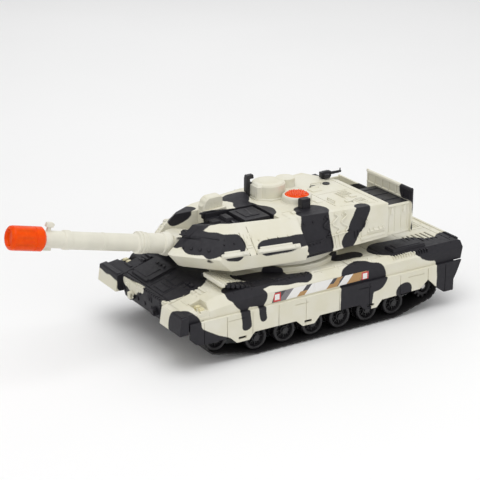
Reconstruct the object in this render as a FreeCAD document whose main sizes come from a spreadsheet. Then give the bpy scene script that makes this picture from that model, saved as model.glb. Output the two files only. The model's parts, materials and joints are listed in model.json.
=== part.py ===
import FreeCAD, Part
import math
import os
import re
import Sketcher

# Radio controlled battle tank, a moulded plastic toy. Millimetres throughout.
# +X forward, +Y to the left, +Z up. The pieces are drawn about the turret's turning axis
# (x = 0) and the ground (z = 0), then every piece is shifted so that x = 0 is the middle
# of the whole model, from the muzzle to the rear plate.

doc = FreeCAD.newDocument("battle_tank")
sheet = doc.addObject("Spreadsheet::Sheet", "Sizes")

SIZES = [
    # overall
    ("overall_width", 134, "across the outer faces of the side skirts"),
    ("hull_front", 127, "turret axis to the front of the track guards"),
    ("hull_rear", 142, "turret axis to the top edge of the rear plate"),
    ("wall", 1.8, "moulded wall of the hull and turret shells"),
    ("play", 0.4, "gap between pieces that only pass each other"),
    ("fit", 0.05, "radial clearance of a shaft in its bore"),
    # hull
    ("skirt_top", 39.3, "height of the split between the skirts and the upper hull"),
    ("shoulder_height", 49, "height of the upper hull's outer shoulder"),
    ("deck_height", 54, "height of the deck"),
    ("nose_height", 44.5, "height of the nose edge of the glacis"),
    ("guard_bottom", 31.6, "lower edge of the front track guards"),
    ("guard_width", 31, "width of a front track guard"),
    ("nose_setback", 6, "nose plate behind the front of the track guards"),
    ("glacis_start", 90.5, "turret axis to where the deck starts to slope down"),
    ("shoulder_inset", 2.5, "upper hull's side inside the skirt's outer face"),
    ("deck_inset", 8, "flat deck's edge inside the skirt's outer face"),
    ("skirt_thickness", 2, "side skirt plate"),
    ("skirt_bottom", 21, "lower edge of the plain stretches of the skirt"),
    ("lobe_drop", 5.5, "drop of the skirt's lobes below its lower edge"),
    ("lobe_width", 20, "length of a lobe at its foot"),
    ("lobe_front", 72.5, "turret axis to the middle of the front lobe"),
    ("lobe_pitch", 59.8, "between the middles of the lobes"),
    ("shoulder_front", 43, "outer shoulder where the glacis starts"),
    ("tub_bottom", 8, "ground clearance of the lower hull"),
    # running gear
    ("track_inset", 2.5, "skirt's outer face to the track's outer edge"),
    ("track_width", 20, "rubber track"),
    ("belt_thickness", 2.5, "rubber track, lugs included"),
    ("wheel_pitch", 26.2, "between road wheel axles"),
    ("wheel_front", 57, "turret axis to the first road wheel"),
    ("wheel_radius", 9.8, "road wheel over its tyre"),
    ("rim_radius", 7.2, "road wheel's dished disc"),
    ("axle_radius", 1.5, "steel stub axle"),
    ("idler_front", 92.5, "turret axis to the front idler"),
    ("idler_height", 19.8, "idler axle above the ground"),
    ("idler_radius", 9.5, "front idler wheel"),
    ("sprocket_rear", 104.5, "turret axis to the rear drive sprocket"),
    ("sprocket_height", 20.5, "sprocket shaft above the ground"),
    ("sprocket_radius", 9.6, "drive sprocket over its teeth"),
    ("shaft_radius", 2, "drive shaft"),
    # drive
    ("motor_radius", 10, "drive motor can"),
    ("motor_length", 26, "drive motor can"),
    ("pinion_radius", 4, "motor pinion over its teeth"),
    ("gear_radius", 10, "large gears over their teeth"),
    ("gear_thickness", 4, "gear face width"),
    ("tooth_mesh", 0.6, "depth that meshed teeth reach into each other"),
    ("board_height", 20, "circuit board above the tub's floor"),
    # turret
    ("ring_radius", 47, "turret ring flange"),
    ("ring_gap", 0.6, "between the hull's collar and the turret's flange"),
    ("collar_height", 3.6, "hull collar under the turret, above the deck"),
    ("turret_bottom", "=deck_height + 11", "under side of the turret shell"),
    ("lip_height", "=deck_height + 22", "height of the knife edge of the wedge armour"),
    ("roof_height", "=deck_height + 41.5", "turret roof"),
    ("wedge_tip", 107, "turret axis to the tips of the wedge armour"),
    ("wedge_corner_x", 81, "outer front corner of the wedge armour"),
    ("wedge_corner_y", 46, "outer front corner of the wedge armour"),
    ("wedge_end_y", 58.5, "half width at the rear end of the wedge armour"),
    ("wedge_end_x", 8, "turret axis to the rear end of the wedge armour"),
    ("ridge_front", 85, "front end of the roof ridge"),
    ("ridge_bend_x", 61, "where the roof ridge turns to run along the turret"),
    ("ridge_bend_y", 29.5, "half width of the roof at that bend"),
    ("bustle_half", 51.5, "half width of the bustle"),
    ("bustle_bottom", 67, "under side of the bustle"),
    ("roof_rear", 73, "turret axis to the rear edge of the roof"),
    ("basket_rear", 97, "turret axis to the rear face of the stowage wall"),
    ("basket_top", 103.5, "top of the stowage wall"),
    ("basket_right", 8, "stowage wall's reach to the right of the middle"),
    ("gun_slot", 13.5, "half width of the slot between the wedges"),
    ("mantlet_back", 64, "turret axis to the back of that slot"),
    ("roof_step", 4, "depth of the recesses in the roof"),
    ("hood_front", 63.5, "turret axis to the front foot of the gunner's sight"),
    ("hood_length", 18, "gunner's sight"),
    ("hood_width", 9, "gunner's sight"),
    ("hood_height", 11.5, "gunner's sight above the roof"),
    # gun
    ("trunnion_x", 80, "turret axis to the gun's pivot"),
    ("trunnion_z", "=deck_height + 20", "gun's pivot above the ground"),
    ("gun_elevation", 13.1, "barrel above the horizontal, degrees"),
    ("pin_radius", 1.5, "pin that the gun tips on"),
    ("gun_length", 153.6, "pivot to the muzzle"),
    ("barrel_radius", 6.5, "front stretch of the barrel"),
    ("sleeve_radius", 7.9, "thicker rear stretch of the barrel"),
    ("sleeve_length", 48, "pivot to the end of the thicker stretch"),
    ("cap_radius", 9.2, "orange muzzle cap"),
    ("cap_length", 27, "orange muzzle cap"),
    ("bore_radius", 3.2, "wire channel through the barrel"),
    # roof
    ("cupola_x", 2.5, "commander's cupola behind the turret axis"),
    ("cupola_y", 15.5, "commander's cupola to the right of the middle"),
    ("cupola_radius", 14, "commander's cupola"),
    ("cupola_height", 11.5, "commander's cupola above the roof"),
    ("hatch_x", 13.5, "loader's hatch behind the turret axis"),
    ("hatch_y", 9.5, "loader's hatch to the left of the middle"),
    ("hatch_radius", 12, "loader's hatch ring"),
    ("hatch_height", 5, "loader's hatch ring above the roof"),
    ("lens_radius", 9.6, "orange lens in the loader's hatch"),
    ("lens_dome", 1.6, "orange lens above its ring"),
]
for row, (name, value, note) in enumerate(SIZES, 1):
    sheet.set(f"A{row}", name)
    sheet.set(f"B{row}", str(value))
    sheet.setAlias(f"B{row}", name)
    sheet.set(f"C{row}", note)
doc.recompute()
ALIASES = {name for name, _, _ in SIZES}


def size(name):
    """A driving dimension as a number."""
    return float(sheet.get(name))


def formula(text):
    """Put the sheet's name in front of each of its aliases."""
    return re.sub(r"[a-z][a-z_]*", lambda word: "Sizes." + word[0] if word[0] in ALIASES else word[0], text)


# Places that several pieces share, as formulas of the driving dimensions.
MIDDLE = "(trunnion_x + gun_length * cos(gun_elevation) - hull_rear) / 2"
SIDE = "overall_width / 2"
TRACK_OUTER = f"({SIDE} - track_inset)"
TRACK_INNER = f"({TRACK_OUTER} - track_width)"
TUB_SIDE = f"({TRACK_INNER} - 1.5)"
TUB_IN = f"({TUB_SIDE} - wall)"
TUB_FLOOR = "(tub_bottom + wall)"
WHEEL_Z = "(belt_thickness + play + wheel_radius)"
HULL_SIDE = f"({SIDE} - shoulder_inset)"
DECK_EDGE = f"({SIDE} - deck_inset)"
GUARD_INNER = f"({SIDE} - guard_width)"
NOSE_X = "(hull_front - nose_setback)"
NOSE_BACK = f"({NOSE_X} - 17)"
COLLAR_TOP = "(deck_height + collar_height)"
HUB_RADIUS = "(ring_radius - 17)"
WHEELS = 6
WHEEL_INNER = f"({TRACK_INNER} + 1.7)"
WHEEL_OUTER = f"({TRACK_OUTER} - 2.7)"
SHAFT_Z = "sprocket_height"
GEAR_STEP = "(gear_radius + pinion_radius - tooth_mesh)"
SHELF_EDGE = f"({SIDE} - 9)"
SHELF_BOTTOM = "(skirt_top - 1.6)"
TIP_Y = "(gun_slot + 5)"

TURN = {
    "XY": FreeCAD.Rotation(),
    "XZ": FreeCAD.Rotation(FreeCAD.Vector(1, 0, 0), 90),
    "YZ": FreeCAD.Rotation(FreeCAD.Vector(1, 1, 1), 120),
}
NORMAL = {
    "XY": FreeCAD.Vector(0, 0, 1),
    "XZ": FreeCAD.Vector(0, 1, 0),
    "YZ": FreeCAD.Vector(1, 0, 0),
}
ACROSS = {"XY": "z", "XZ": "y", "YZ": "x"}
AXIS_TURN = {
    "X": FreeCAD.Rotation(FreeCAD.Vector(0, 1, 0), 90),
    "Y": FreeCAD.Rotation(FreeCAD.Vector(1, 0, 0), -90),
    "Z": FreeCAD.Rotation(),
}

parts = []
placed = {}
counter = {}


def unique(stem):
    """A document name for a helper solid or sketch."""
    counter[stem] = counter.get(stem, 0) + 1
    return f"{stem}_{counter[stem]}"


def bind(thing, prop, text):
    """Bind a property to a formula of the driving dimensions."""
    thing.setExpression(prop, formula(text))


def place(thing, x, y, z):
    """Bind an object's position."""
    for axis, text in zip("xyz", (x, y, z)):
        bind(thing, f"Placement.Base.{axis}", text)
    placed[thing.Name] = (x, y, z)
    return thing


def polygon(sketch, corners):
    """Closed polygon in a sketch; every corner's two distances from the origin are bound."""
    count = len(corners)
    ring = []
    for index in range(count):
        angle = 2 * math.pi * index / count
        ring.append(FreeCAD.Vector(10 * math.cos(angle), 10 * math.sin(angle), 0))
    first = sketch.GeometryCount
    for index in range(count):
        sketch.addGeometry(Part.LineSegment(ring[index], ring[(index + 1) % count]))
    for index in range(count):
        following = first + (index + 1) % count
        sketch.addConstraint(Sketcher.Constraint("Coincident", first + index, 2, following, 1))
    for index, corner in enumerate(corners):
        for kind, text in zip(("DistanceX", "DistanceY"), corner):
            number = sketch.addConstraint(Sketcher.Constraint(kind, -1, 1, first + index, 1, 1.0))
            bind(sketch, f"Constraints[{number}]", text)


def circle(sketch, x, y, radius):
    """Circle in a sketch with its centre and radius bound."""
    index = sketch.addGeometry(Part.Circle(FreeCAD.Vector(1, 1, 0), FreeCAD.Vector(0, 0, 1), 1))
    number = sketch.addConstraint(Sketcher.Constraint("Radius", index, 1.0))
    bind(sketch, f"Constraints[{number}]", radius)
    for kind, text in (("DistanceX", x), ("DistanceY", y)):
        number = sketch.addConstraint(Sketcher.Constraint(kind, -1, 1, index, 3, 1.0))
        bind(sketch, f"Constraints[{number}]", text)


def free_sketch(plane, at="0"):
    """Sketch in a principal plane, moved along the plane's normal."""
    sketch = doc.addObject("Sketcher::SketchObject", unique("outline"))
    sketch.Placement = FreeCAD.Placement(FreeCAD.Vector(), TURN[plane])
    bind(sketch, f"Placement.Base.{ACROSS[plane]}", at)
    return sketch


def prism(plane, corners, start, end):
    """Polygon in a principal plane, pushed along the plane's normal from start to end."""
    sketch = free_sketch(plane, start)
    polygon(sketch, corners)
    solid = doc.addObject("Part::Extrusion", unique("prism"))
    solid.Base = sketch
    solid.DirMode = "Custom"
    solid.Dir = NORMAL[plane]
    solid.Solid = True
    bind(solid, "LengthFwd", f"({end}) - ({start})")
    return solid


def wide(plane, corners, half):
    """Prism that reaches the same distance to both sides."""
    return prism(plane, corners, f"-({half})", half)


def box(x, y, z):
    """Box between pairs of formulas."""
    solid = doc.addObject("Part::Box", unique("box"))
    for prop, (low, high) in zip(("Length", "Width", "Height"), (x, y, z)):
        bind(solid, prop, f"({high}) - ({low})")
    return place(solid, x[0], y[0], z[0])


def rod(axis, start, radius, length):
    """Cylinder from a start point along a principal axis."""
    solid = doc.addObject("Part::Cylinder", unique("rod"))
    solid.Placement = FreeCAD.Placement(FreeCAD.Vector(), AXIS_TURN[axis])
    bind(solid, "Radius", radius)
    bind(solid, "Height", length)
    return place(solid, *start)


def fuse(*solids):
    """Union of solids."""
    union = doc.addObject("Part::MultiFuse", unique("union"))
    union.Shapes = list(solids)
    union.Refine = True
    return union


def common(*solids):
    """What all the solids share."""
    shared = doc.addObject("Part::MultiCommon", unique("shared"))
    shared.Shapes = list(solids)
    return shared


def cut(base, *tools):
    """Base with the tools taken out of it."""
    tool = tools[0] if len(tools) == 1 else fuse(*tools)
    rest = doc.addObject("Part::Cut", unique("rest"))
    rest.Base = base
    rest.Tool = tool
    return rest


def group(*solids):
    """Separate solids that are one sub-part."""
    together = doc.addObject("Part::Compound", unique("group"))
    together.Links = list(solids)
    return together


def other_side(solid):
    """The same solid on the other side of the middle plane."""
    copy = doc.addObject("Part::Mirroring", unique("mirror"))
    copy.Source = solid
    copy.Normal = FreeCAD.Vector(0, 1, 0)
    return copy


def both(solid):
    """A solid and its mirror image, joined."""
    return fuse(solid, other_side(solid))


def loft(sketches):
    """Straight-sided solid through outlines."""
    solid = doc.addObject("Part::Loft", unique("loft"))
    solid.Sections = sketches
    solid.Solid = True
    solid.Ruled = True
    return solid


def finish(label, thing, at=None, on_gun=False):
    """Name a sub-part and put it in the model's frame."""
    if at is None:
        at = placed.get(thing.Name, ("0", "0", "0"))
    if on_gun:
        thing.Placement = FreeCAD.Placement(
            FreeCAD.Vector(), FreeCAD.Rotation(FreeCAD.Vector(0, -1, 0), size("gun_elevation")))
        bind(thing, "Placement.Rotation.Angle", "gun_elevation")
        at = ("trunnion_x", "0", "trunnion_z")
    place(thing, f"({at[0]}) - ({MIDDLE})", at[1], at[2])
    thing.Label = label
    parts.append(thing)
    return thing


def new_body(stem):
    """PartDesign body."""
    return doc.addObject("PartDesign::Body", unique(stem))


def body_sketch(body, plane):
    """Sketch on one of the body's own origin planes."""
    sketch = body.newObject("Sketcher::SketchObject", unique("profile"))
    role = plane + "_Plane"
    origin_plane = [item for item in body.Origin.OriginFeatures if item.Role == role][0]
    sketch.AttachmentSupport = [(origin_plane, "")]
    sketch.MapMode = "FlatFace"
    return sketch


def turned(body, corners):
    """Revolve a profile, given as (distance along Y, radius) pairs, about the Y axis."""
    sketch = body_sketch(body, "YZ")
    polygon(sketch, corners)
    feature = body.newObject("PartDesign::Revolution", unique("turned"))
    feature.Profile = sketch
    feature.ReferenceAxis = (sketch, ["H_Axis"])
    feature.Angle = 360
    return feature


def drilled_ring(body, radius, hole_radius, count):
    """Ring of equal holes parallel to Y, cut right through."""
    sketch = body_sketch(body, "XZ")
    circle(sketch, "0", radius, hole_radius)
    hole = body.newObject("PartDesign::Pocket", unique("hole"))
    hole.Profile = sketch
    hole.Type = "ThroughAll"
    hole.Midplane = True
    pattern = body.newObject("PartDesign::PolarPattern", unique("pattern"))
    pattern.Originals = [hole]
    pattern.Axis = (sketch, ["N_Axis"])
    pattern.Angle = 360
    pattern.Occurrences = count
    body.Tip = pattern
    return pattern


def toothed_ring(body, count, tip_radius, root_radius, half_width):
    """Ring of square teeth round the Y axis, centred on the XZ plane."""
    sketch = body_sketch(body, "XZ")
    half_tooth = f"({root_radius}) * {math.sin(math.pi / count / 2):.4f}"
    polygon(sketch, [
        (f"-{half_tooth}", f"({root_radius}) * 0.8"),
        (half_tooth, f"({root_radius}) * 0.8"),
        (f"{half_tooth} * 0.7", tip_radius),
        (f"-{half_tooth} * 0.7", tip_radius),
    ])
    tooth = body.newObject("PartDesign::Pad", unique("tooth"))
    tooth.Profile = sketch
    tooth.Midplane = True
    bind(tooth, "Length", f"2 * ({half_width})")
    pattern = body.newObject("PartDesign::PolarPattern", unique("teeth"))
    pattern.Originals = [tooth]
    pattern.Axis = (sketch, ["N_Axis"])
    pattern.Angle = 360
    pattern.Occurrences = count
    body.Tip = pattern
    return pattern


# ---------------------------------------------------------------- lower hull

def wheel_x(index):
    """Road wheel axle, counted from the front."""
    return f"(wheel_front - {index} * wheel_pitch)"


AXLES = [(wheel_x(index), WHEEL_Z) for index in range(WHEELS)] + [("idler_front", "idler_height")]
SCREWS = [("hull_front - 57", "26"), ("-(hull_rear - 16)", "26")]
BAY = ("-58", "8")
BAY_HALF = "21"
DOOR_SCREW_X = f"({BAY[0]} + 5)"
SWITCH_X = "34"


def both_y(text):
    """A distance to the left and the same distance to the right."""
    return (text, f"-({text})")


def tub_profile(inset):
    """Side view of the lower hull, moved inwards by a wall."""
    low = f"tub_bottom + {inset}"
    return [
        (f"-(hull_rear - 4) + {inset}", "skirt_top"),
        (f"-(hull_rear - 9) + {inset}", f"tub_bottom + 12 + {inset} * 0.5"),
        (f"-(hull_rear - 20) + {inset} * 0.5", low),
        (f"{NOSE_BACK} - 18 - {inset} * 0.5", low),
        (f"{NOSE_BACK} - {inset}", f"tub_bottom + 16 + {inset} * 0.5"),
        (f"{NOSE_BACK} - {inset}", "skirt_top"),
    ]


def lower_hull():
    shell = cut(wide("XZ", tub_profile("0"), TUB_SIDE), wide("XZ", tub_profile("wall"), TUB_IN))
    posts = []
    holes = []
    for x, y in SCREWS:
        for side in both_y(y):
            posts.append(rod("Z", (x, side, "tub_bottom + 0.5"), "3.6", "12"))
            holes.append(rod("Z", (x, side, "tub_bottom - 1"), "1.4", "16"))
            holes.append(rod("Z", (x, side, "tub_bottom - 1"), "2.8", "3.4"))
    bosses = []
    for x, z in AXLES + [("-sprocket_rear", SHAFT_Z)]:
        boss = rod("Y", (x, f"{TUB_SIDE} - 0.1", z), "shaft_radius + 1.5", f"{WHEEL_INNER} - play - {TUB_SIDE} + 0.1")
        bosses.append(both(boss))
    for x, z in AXLES:
        holes.append(rod("Y", (x, f"-{SIDE}", z), "axle_radius + fit / 2", "overall_width"))
    shelf = box(("-(hull_rear - 10)", NOSE_BACK), (f"{TUB_SIDE} - 0.1", SHELF_EDGE), (SHELF_BOTTOM, "skirt_top"))
    holes.append(rod("Y", ("-sprocket_rear", f"-{SIDE}", SHAFT_Z), "shaft_radius + fit", "overall_width"))
    holes.append(box(BAY, (f"-{BAY_HALF}", BAY_HALF), ("tub_bottom - 1", f"{TUB_FLOOR} + 0.01")))
    holes.append(box((f"{SWITCH_X} - 5", f"{SWITCH_X} + 5"), ("-2.2", "2.2"),
                     ("tub_bottom - 1", f"{TUB_FLOOR} + 0.01")))
    for index in range(5):
        x = f"hull_front - 72 + {index * 3.5}"
        holes.append(box((x, f"{x} + 1.6"), ("-7", "7"), ("tub_bottom - 1", f"{TUB_FLOOR} + 0.01")))
    finish("lower_hull", cut(fuse(shell, both(shelf), *posts, *bosses), *holes))


def case_screws():
    screws = []
    for x, y in SCREWS:
        for side in both_y(y):
            head = rod("Z", (x, side, "tub_bottom + 0.2"), "2.6", "2")
            shank = rod("Z", (x, side, "tub_bottom + 2.2"), "1.2", "18")
            slot = box((f"{x} - 2", f"{x} + 2"), (f"{side} - 0.3", f"{side} + 0.3"),
                       ("tub_bottom", "tub_bottom + 0.9"))
            screws.append(cut(fuse(head, shank), slot))
    head = rod("Z", (DOOR_SCREW_X, "0", "tub_bottom + 0.1"), "2.5", "0.8")
    shank = rod("Z", (DOOR_SCREW_X, "0", "tub_bottom + 0.9"), "1.2", "6")
    screws.append(fuse(head, shank))
    finish("case_screws", group(*screws))


def battery_door():
    plate = box((f"{BAY[0]} + play", f"{BAY[1]} - play"), (f"-{BAY_HALF} + play", f"{BAY_HALF} - play"),
                ("tub_bottom", TUB_FLOOR))
    hole = rod("Z", (DOOR_SCREW_X, "0", "tub_bottom - 1"), "1.3", "4")
    recess = rod("Z", (DOOR_SCREW_X, "0", "tub_bottom - 1"), "2.7", "1.9")
    ribs = [box((f"{BAY[1]} - {6 + 3 * index}", f"{BAY[1]} - {4.6 + 3 * index}"), ("-9", "9"),
                ("tub_bottom - 1", "tub_bottom + 0.5")) for index in range(4)]
    finish("battery_door", cut(plate, hole, recess, *ribs))


def battery_pack():
    cells = []
    for row in range(3):
        y = f"{(row - 1) * 12.4}"
        cells.append(rod("X", (f"{BAY[0]} + 14", y, f"{TUB_FLOOR} + 7.2"), "6.4", "48"))
    band = box((f"{BAY[0]} + 22", f"{BAY[0]} + 54"), ("-18.9", "18.9"), (TUB_FLOOR, f"{TUB_FLOOR} + 13.8"))
    plug = box((f"{BAY[0]} + 8.5", f"{BAY[0]} + 14.5"), ("-4", "4"),
               (f"{TUB_FLOOR} + 4", f"{TUB_FLOOR} + 10"))
    finish("battery_pack", fuse(band, plug, *cells))


def circuit_board():
    low = f"({TUB_FLOOR} + board_height)"
    board = box(("-50", "6"), ("-24", "24"), (low, f"{low} + 1.6"))
    chips = []
    for x, y, length, width, height in (
            (-40, -14, 12, 8, 2), (-22, -16, 8, 8, 2.4), (-36, 8, 18, 6, 3), (-8, 6, 7, 12, 6)):
        chips.append(box((f"{x}", f"{x + length}"), (f"{y}", f"{y + width}"),
                         (f"{low} + 1.6", f"{low} + {1.6 + height}")))
    legs = [box((x, f"{x} + 3"), (y, f"{y} + 3"), (f"{TUB_FLOOR}", low))
            for x in ("-49", "2") for y in ("-24", f"{BAY_HALF} + 0.5")]
    finish("circuit_board", fuse(board, *chips, *legs))


def speaker():
    at = "hull_front - 64"
    basket = rod("Z", (at, "0", TUB_FLOOR), "13", "3")
    magnet = rod("Z", (at, "0", f"{TUB_FLOOR} + 3"), "7", "5")
    hollow = rod("Z", (at, "0", f"{TUB_FLOOR} - 1"), "11.5", "2.4")
    finish("speaker", cut(fuse(basket, magnet), hollow))


def power_switch():
    case = box((f"{SWITCH_X} - 9", f"{SWITCH_X} + 9"), ("-4", "4"), (TUB_FLOOR, f"{TUB_FLOOR} + 6"))
    hollow = box((f"{SWITCH_X} - 6", f"{SWITCH_X} + 6"), ("-2.4", "2.4"),
                 (f"{TUB_FLOOR} - 1", f"{TUB_FLOOR} + 3"))
    finish("switch_case", cut(case, hollow))
    foot = box((f"{SWITCH_X} - 4", f"{SWITCH_X}"), ("-1.8", "1.8"),
               ("tub_bottom - 1", f"{TUB_FLOOR} + 2.5"))
    grooves = [box((f"{SWITCH_X} - {3.4 - index}", f"{SWITCH_X} - {2.9 - index}"), ("-2", "2"),
                   ("tub_bottom - 1.2", "tub_bottom - 0.6")) for index in range(3)]
    finish("switch_slider", cut(foot, *grooves))


# ---------------------------------------------------------------- upper hull

WEDGE_X = "wedge_corner_x"
LAMP_X = "(hull_front - 27)"
LAMP_Y = f"({GUARD_INNER} + 13)"
LAMP_Z = "(skirt_top + 2.4)"


def deck_profile(inset):
    """Side view of the upper hull, moved inwards by a wall."""
    low = f"skirt_top - {inset} * 0.01"
    return [
        (f"-(hull_rear - 2.6) + {inset}", low),
        (f"-hull_rear + {inset}", f"deck_height - 1 - {inset}"),
        (f"-hull_rear + 2 + {inset}", f"deck_height - {inset}"),
        (f"glacis_start - {inset} * 0.2", f"deck_height - {inset}"),
        (f"{NOSE_X} - {inset}", f"nose_height - {inset}"),
        (f"{NOSE_X} - {inset}", low),
    ]


def hull_section(inset):
    """Front view of the upper hull: upright sides, sloping shoulders."""
    low = "skirt_top - 1"
    return [
        (f"-{HULL_SIDE} + {inset}", low),
        (f"-{HULL_SIDE} + {inset}", f"shoulder_height - {inset} * 0.6"),
        (f"-{DECK_EDGE} + {inset}", f"deck_height + 0.01 - {inset} * 0.4"),
        (f"{DECK_EDGE} - {inset}", f"deck_height + 0.01 - {inset} * 0.4"),
        (f"{HULL_SIDE} - {inset}", f"shoulder_height - {inset} * 0.6"),
        (f"{HULL_SIDE} - {inset}", low),
    ]


def front_shoulder(drop):
    """What the front shoulders lose: their outer edge falls towards the nose."""
    sections = []
    for at, deck, edge in (
            (f"{WEDGE_X} - 30", "deck_height", "shoulder_height - 2.2"),
            ("glacis_start", "deck_height", "shoulder_front"),
            (f"{NOSE_X} + 1", "nose_height", "shoulder_front - 2")):
        sketch = free_sketch("YZ", at)
        polygon(sketch, [
            (DECK_EDGE, f"{deck} - {drop}"), (SIDE, f"{edge} - {drop}"),
            (SIDE, "deck_height + 5"), (DECK_EDGE, "deck_height + 5"),
        ])
        sections.append(sketch)
    return both(loft(sections))


def nose_block():
    """Upright plate and lower slope between the track guards."""
    return wide("XZ", [
        (f"{NOSE_BACK} + 0.2", "skirt_top + 1"),
        (f"{NOSE_BACK} + 0.2", "tub_bottom + 13"),
        (f"{NOSE_X} - 2.5", "guard_bottom - 4.5"),
        (NOSE_X, "skirt_top"),
        (f"{NOSE_X} - 0.5", "skirt_top + 1"),
    ], GUARD_INNER)


def upper_hull():
    reach = ("-hull_rear - 1", "hull_front + 1")
    outer = common(wide("XZ", deck_profile("0"), HULL_SIDE), prism("YZ", hull_section("0"), *reach))
    inner = common(wide("XZ", deck_profile("wall"), f"{HULL_SIDE} - wall"),
                   prism("YZ", hull_section("wall"), *reach))
    nose = nose_block()
    nose_hollow = wide("XZ", [
        (f"{NOSE_BACK} - 1", "skirt_top + 2"),
        (f"{NOSE_BACK} - 1", "tub_bottom + 13.2 + wall"),
        (f"{NOSE_X} - 2.8 - wall", "guard_bottom - 4 + wall"),
        (f"{NOSE_X} - wall", "skirt_top"),
        (f"{NOSE_X} - wall", "skirt_top + 2"),
    ], f"{GUARD_INNER} - wall")
    guard_back = prism("XZ", [
        (f"{NOSE_BACK} + 2", "guard_bottom + 3.4"),
        ("hull_front - 8", "guard_bottom + 1"),
        ("hull_front - 7.5", "nose_height + 1"),
        (f"{NOSE_BACK} + 2", "nose_height + 3"),
    ], GUARD_INNER, HULL_SIDE)
    guard_front = prism("XZ", [
        ("hull_front - 8", "guard_bottom"),
        ("hull_front", "guard_bottom"),
        ("hull_front - 2", "nose_height + 0.5"),
        ("hull_front - 8", "nose_height + 1.5"),
    ], GUARD_INNER, SIDE)
    guard_hollow = prism("XZ", [
        (f"{NOSE_BACK} + 2 + wall", "guard_bottom - 1"),
        ("hull_front - 1.2 * wall", "guard_bottom - 1"),
        ("hull_front - 2 - wall", "nose_height - 1"),
        (f"{NOSE_BACK} + 2 + wall", "nose_height - 1"),
    ], f"{GUARD_INNER} + wall", f"{HULL_SIDE} - wall")
    collar = rod("Z", ("0", "0", "deck_height - wall"), "ring_radius + 3", "collar_height + wall")
    opening = rod("Z", ("0", "0", "deck_height - 3 * wall"), f"{HUB_RADIUS} + play", "collar_height + 4 * wall")
    posts = []
    pilots = []
    for x, y in SCREWS:
        for side in both_y(y):
            posts.append(rod("Z", (x, side, "tub_bottom + 13"), "3.4", "deck_height - tub_bottom - 14"))
            pilots.append(rod("Z", (x, side, "tub_bottom + 12"), "1.2", "9"))
    intakes = []
    for index in range(6):
        x = f"-(hull_rear - {14 + 4.6 * index})"
        for y in both_y("39"):
            intakes.append(box((x, f"{x} + 2"), (f"{y} - 9", f"{y} + 9"), ("deck_height - 0.9", "deck_height + 1")))
    bands = []
    for index in range(5):
        x = f"glacis_start - {22 - 3.2 * index}"
        bands.append(prism("XZ", [
            (x, f"deck_height - 0.2 - {0.05 * index}"),
            (f"{x} + 2.2", f"deck_height - 0.2 - {0.05 * index}"),
            (f"{x} + 2.2", f"deck_height + {1.6 - 0.25 * index}"),
            (x, f"deck_height + {1.6 - 0.25 * index}"),
        ], "22", f"{DECK_EDGE} - 6"))
    driver_door = prism("XZ", [
        ("glacis_start - 2", "deck_height - 0.5"),
        ("glacis_start - 2", "deck_height + 1.2"),
        ("glacis_start + 1", "deck_height + 1.2"),
        (f"{NOSE_X} - 9", "nose_height + 4.6"),
        (f"{NOSE_X} - 9", "nose_height + 2"),
    ], f"-({GUARD_INNER}) + 2", "-6")
    faired = cut(outer, front_shoulder("0"))
    room = cut(inner, front_shoulder("1.3 * wall"))
    walls = fuse(faired, nose, both(guard_back), both(guard_front), collar)
    hollow = cut(walls, room, nose_hollow, both(guard_hollow), opening, *intakes)
    floor = box((f"{LAMP_X} - 1", f"{LAMP_X} + 11"), (LAMP_Y, f"{HULL_SIDE} - 0.6"), ("skirt_top + 0.6", LAMP_Z))
    pocket = box((LAMP_X, f"{LAMP_X} + 10"), (f"{LAMP_Y} + 1", SIDE), (LAMP_Z, "deck_height"))
    solid = fuse(hollow, driver_door, both(floor), *bands, *posts)
    finish("upper_hull", cut(solid, both(pocket), *pilots))


def lobe_middle(index):
    """Middle of a skirt lobe, counted from the front."""
    return f"(lobe_front - {index} * lobe_pitch)"


def skirt_profile():
    """Side view of a skirt: plain stretches, three lobes, and the rear mud flap round the sprocket."""
    low = "skirt_bottom"
    corners = [
        ("-(hull_rear - 3.7)", "skirt_top"),
        ("-(hull_rear - 8)", f"{low} + 8"),
        ("-(hull_rear - 11)", f"{low} + 2.5"),
        ("-(hull_rear - 11)", f"{low} - 7"),
        ("-(hull_rear - 20.5)", f"{low} - 7"),
        ("-(hull_rear - 27)", f"{low} - 2.5"),
        ("-sprocket_rear", f"{low} + 7.6"),
        ("-(sprocket_rear - 8.3)", f"{low} + 1"),
    ]
    for index in (2, 1, 0):
        centre = lobe_middle(index)
        corners += [
            (f"{centre} - lobe_width / 2 - 1", low),
            (f"{centre} - lobe_width / 2 + 4", f"{low} - lobe_drop"),
            (f"{centre} + lobe_width / 2 - 5", f"{low} - lobe_drop"),
            (f"{centre} + lobe_width / 2 + 1", low),
        ]
    corners += [
        ("hull_front - 21", f"{low} - 0.5"),
        ("hull_front - 14", f"{low} + 1"),
        ("hull_front - 9", f"{low} + 6"),
        ("hull_front - 9", "skirt_top"),
    ]
    return corners


def skirts():
    for label, side in (("left_skirt", 1), ("right_skirt", -1)):
        plate = prism("XZ", skirt_profile(), f"{SIDE} - skirt_thickness", SIDE)
        flange = box(("-(hull_rear - 10)", "hull_front - 22"),
                     (SHELF_EDGE, f"{SIDE} - skirt_thickness + 0.1"), (SHELF_BOTTOM, "skirt_top"))
        windows = []
        for index in range(3):
            centre = lobe_middle(index)
            windows.append(box((f"{centre} - 3.5", f"{centre} + 3.5"), (f"{SIDE} - 4", f"{SIDE} + 1"),
                               ("skirt_bottom - 3.2", "skirt_bottom - 1.2")))
        solid = cut(fuse(plate, flange), *windows)
        finish(label, solid if side > 0 else other_side(solid))


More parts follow.
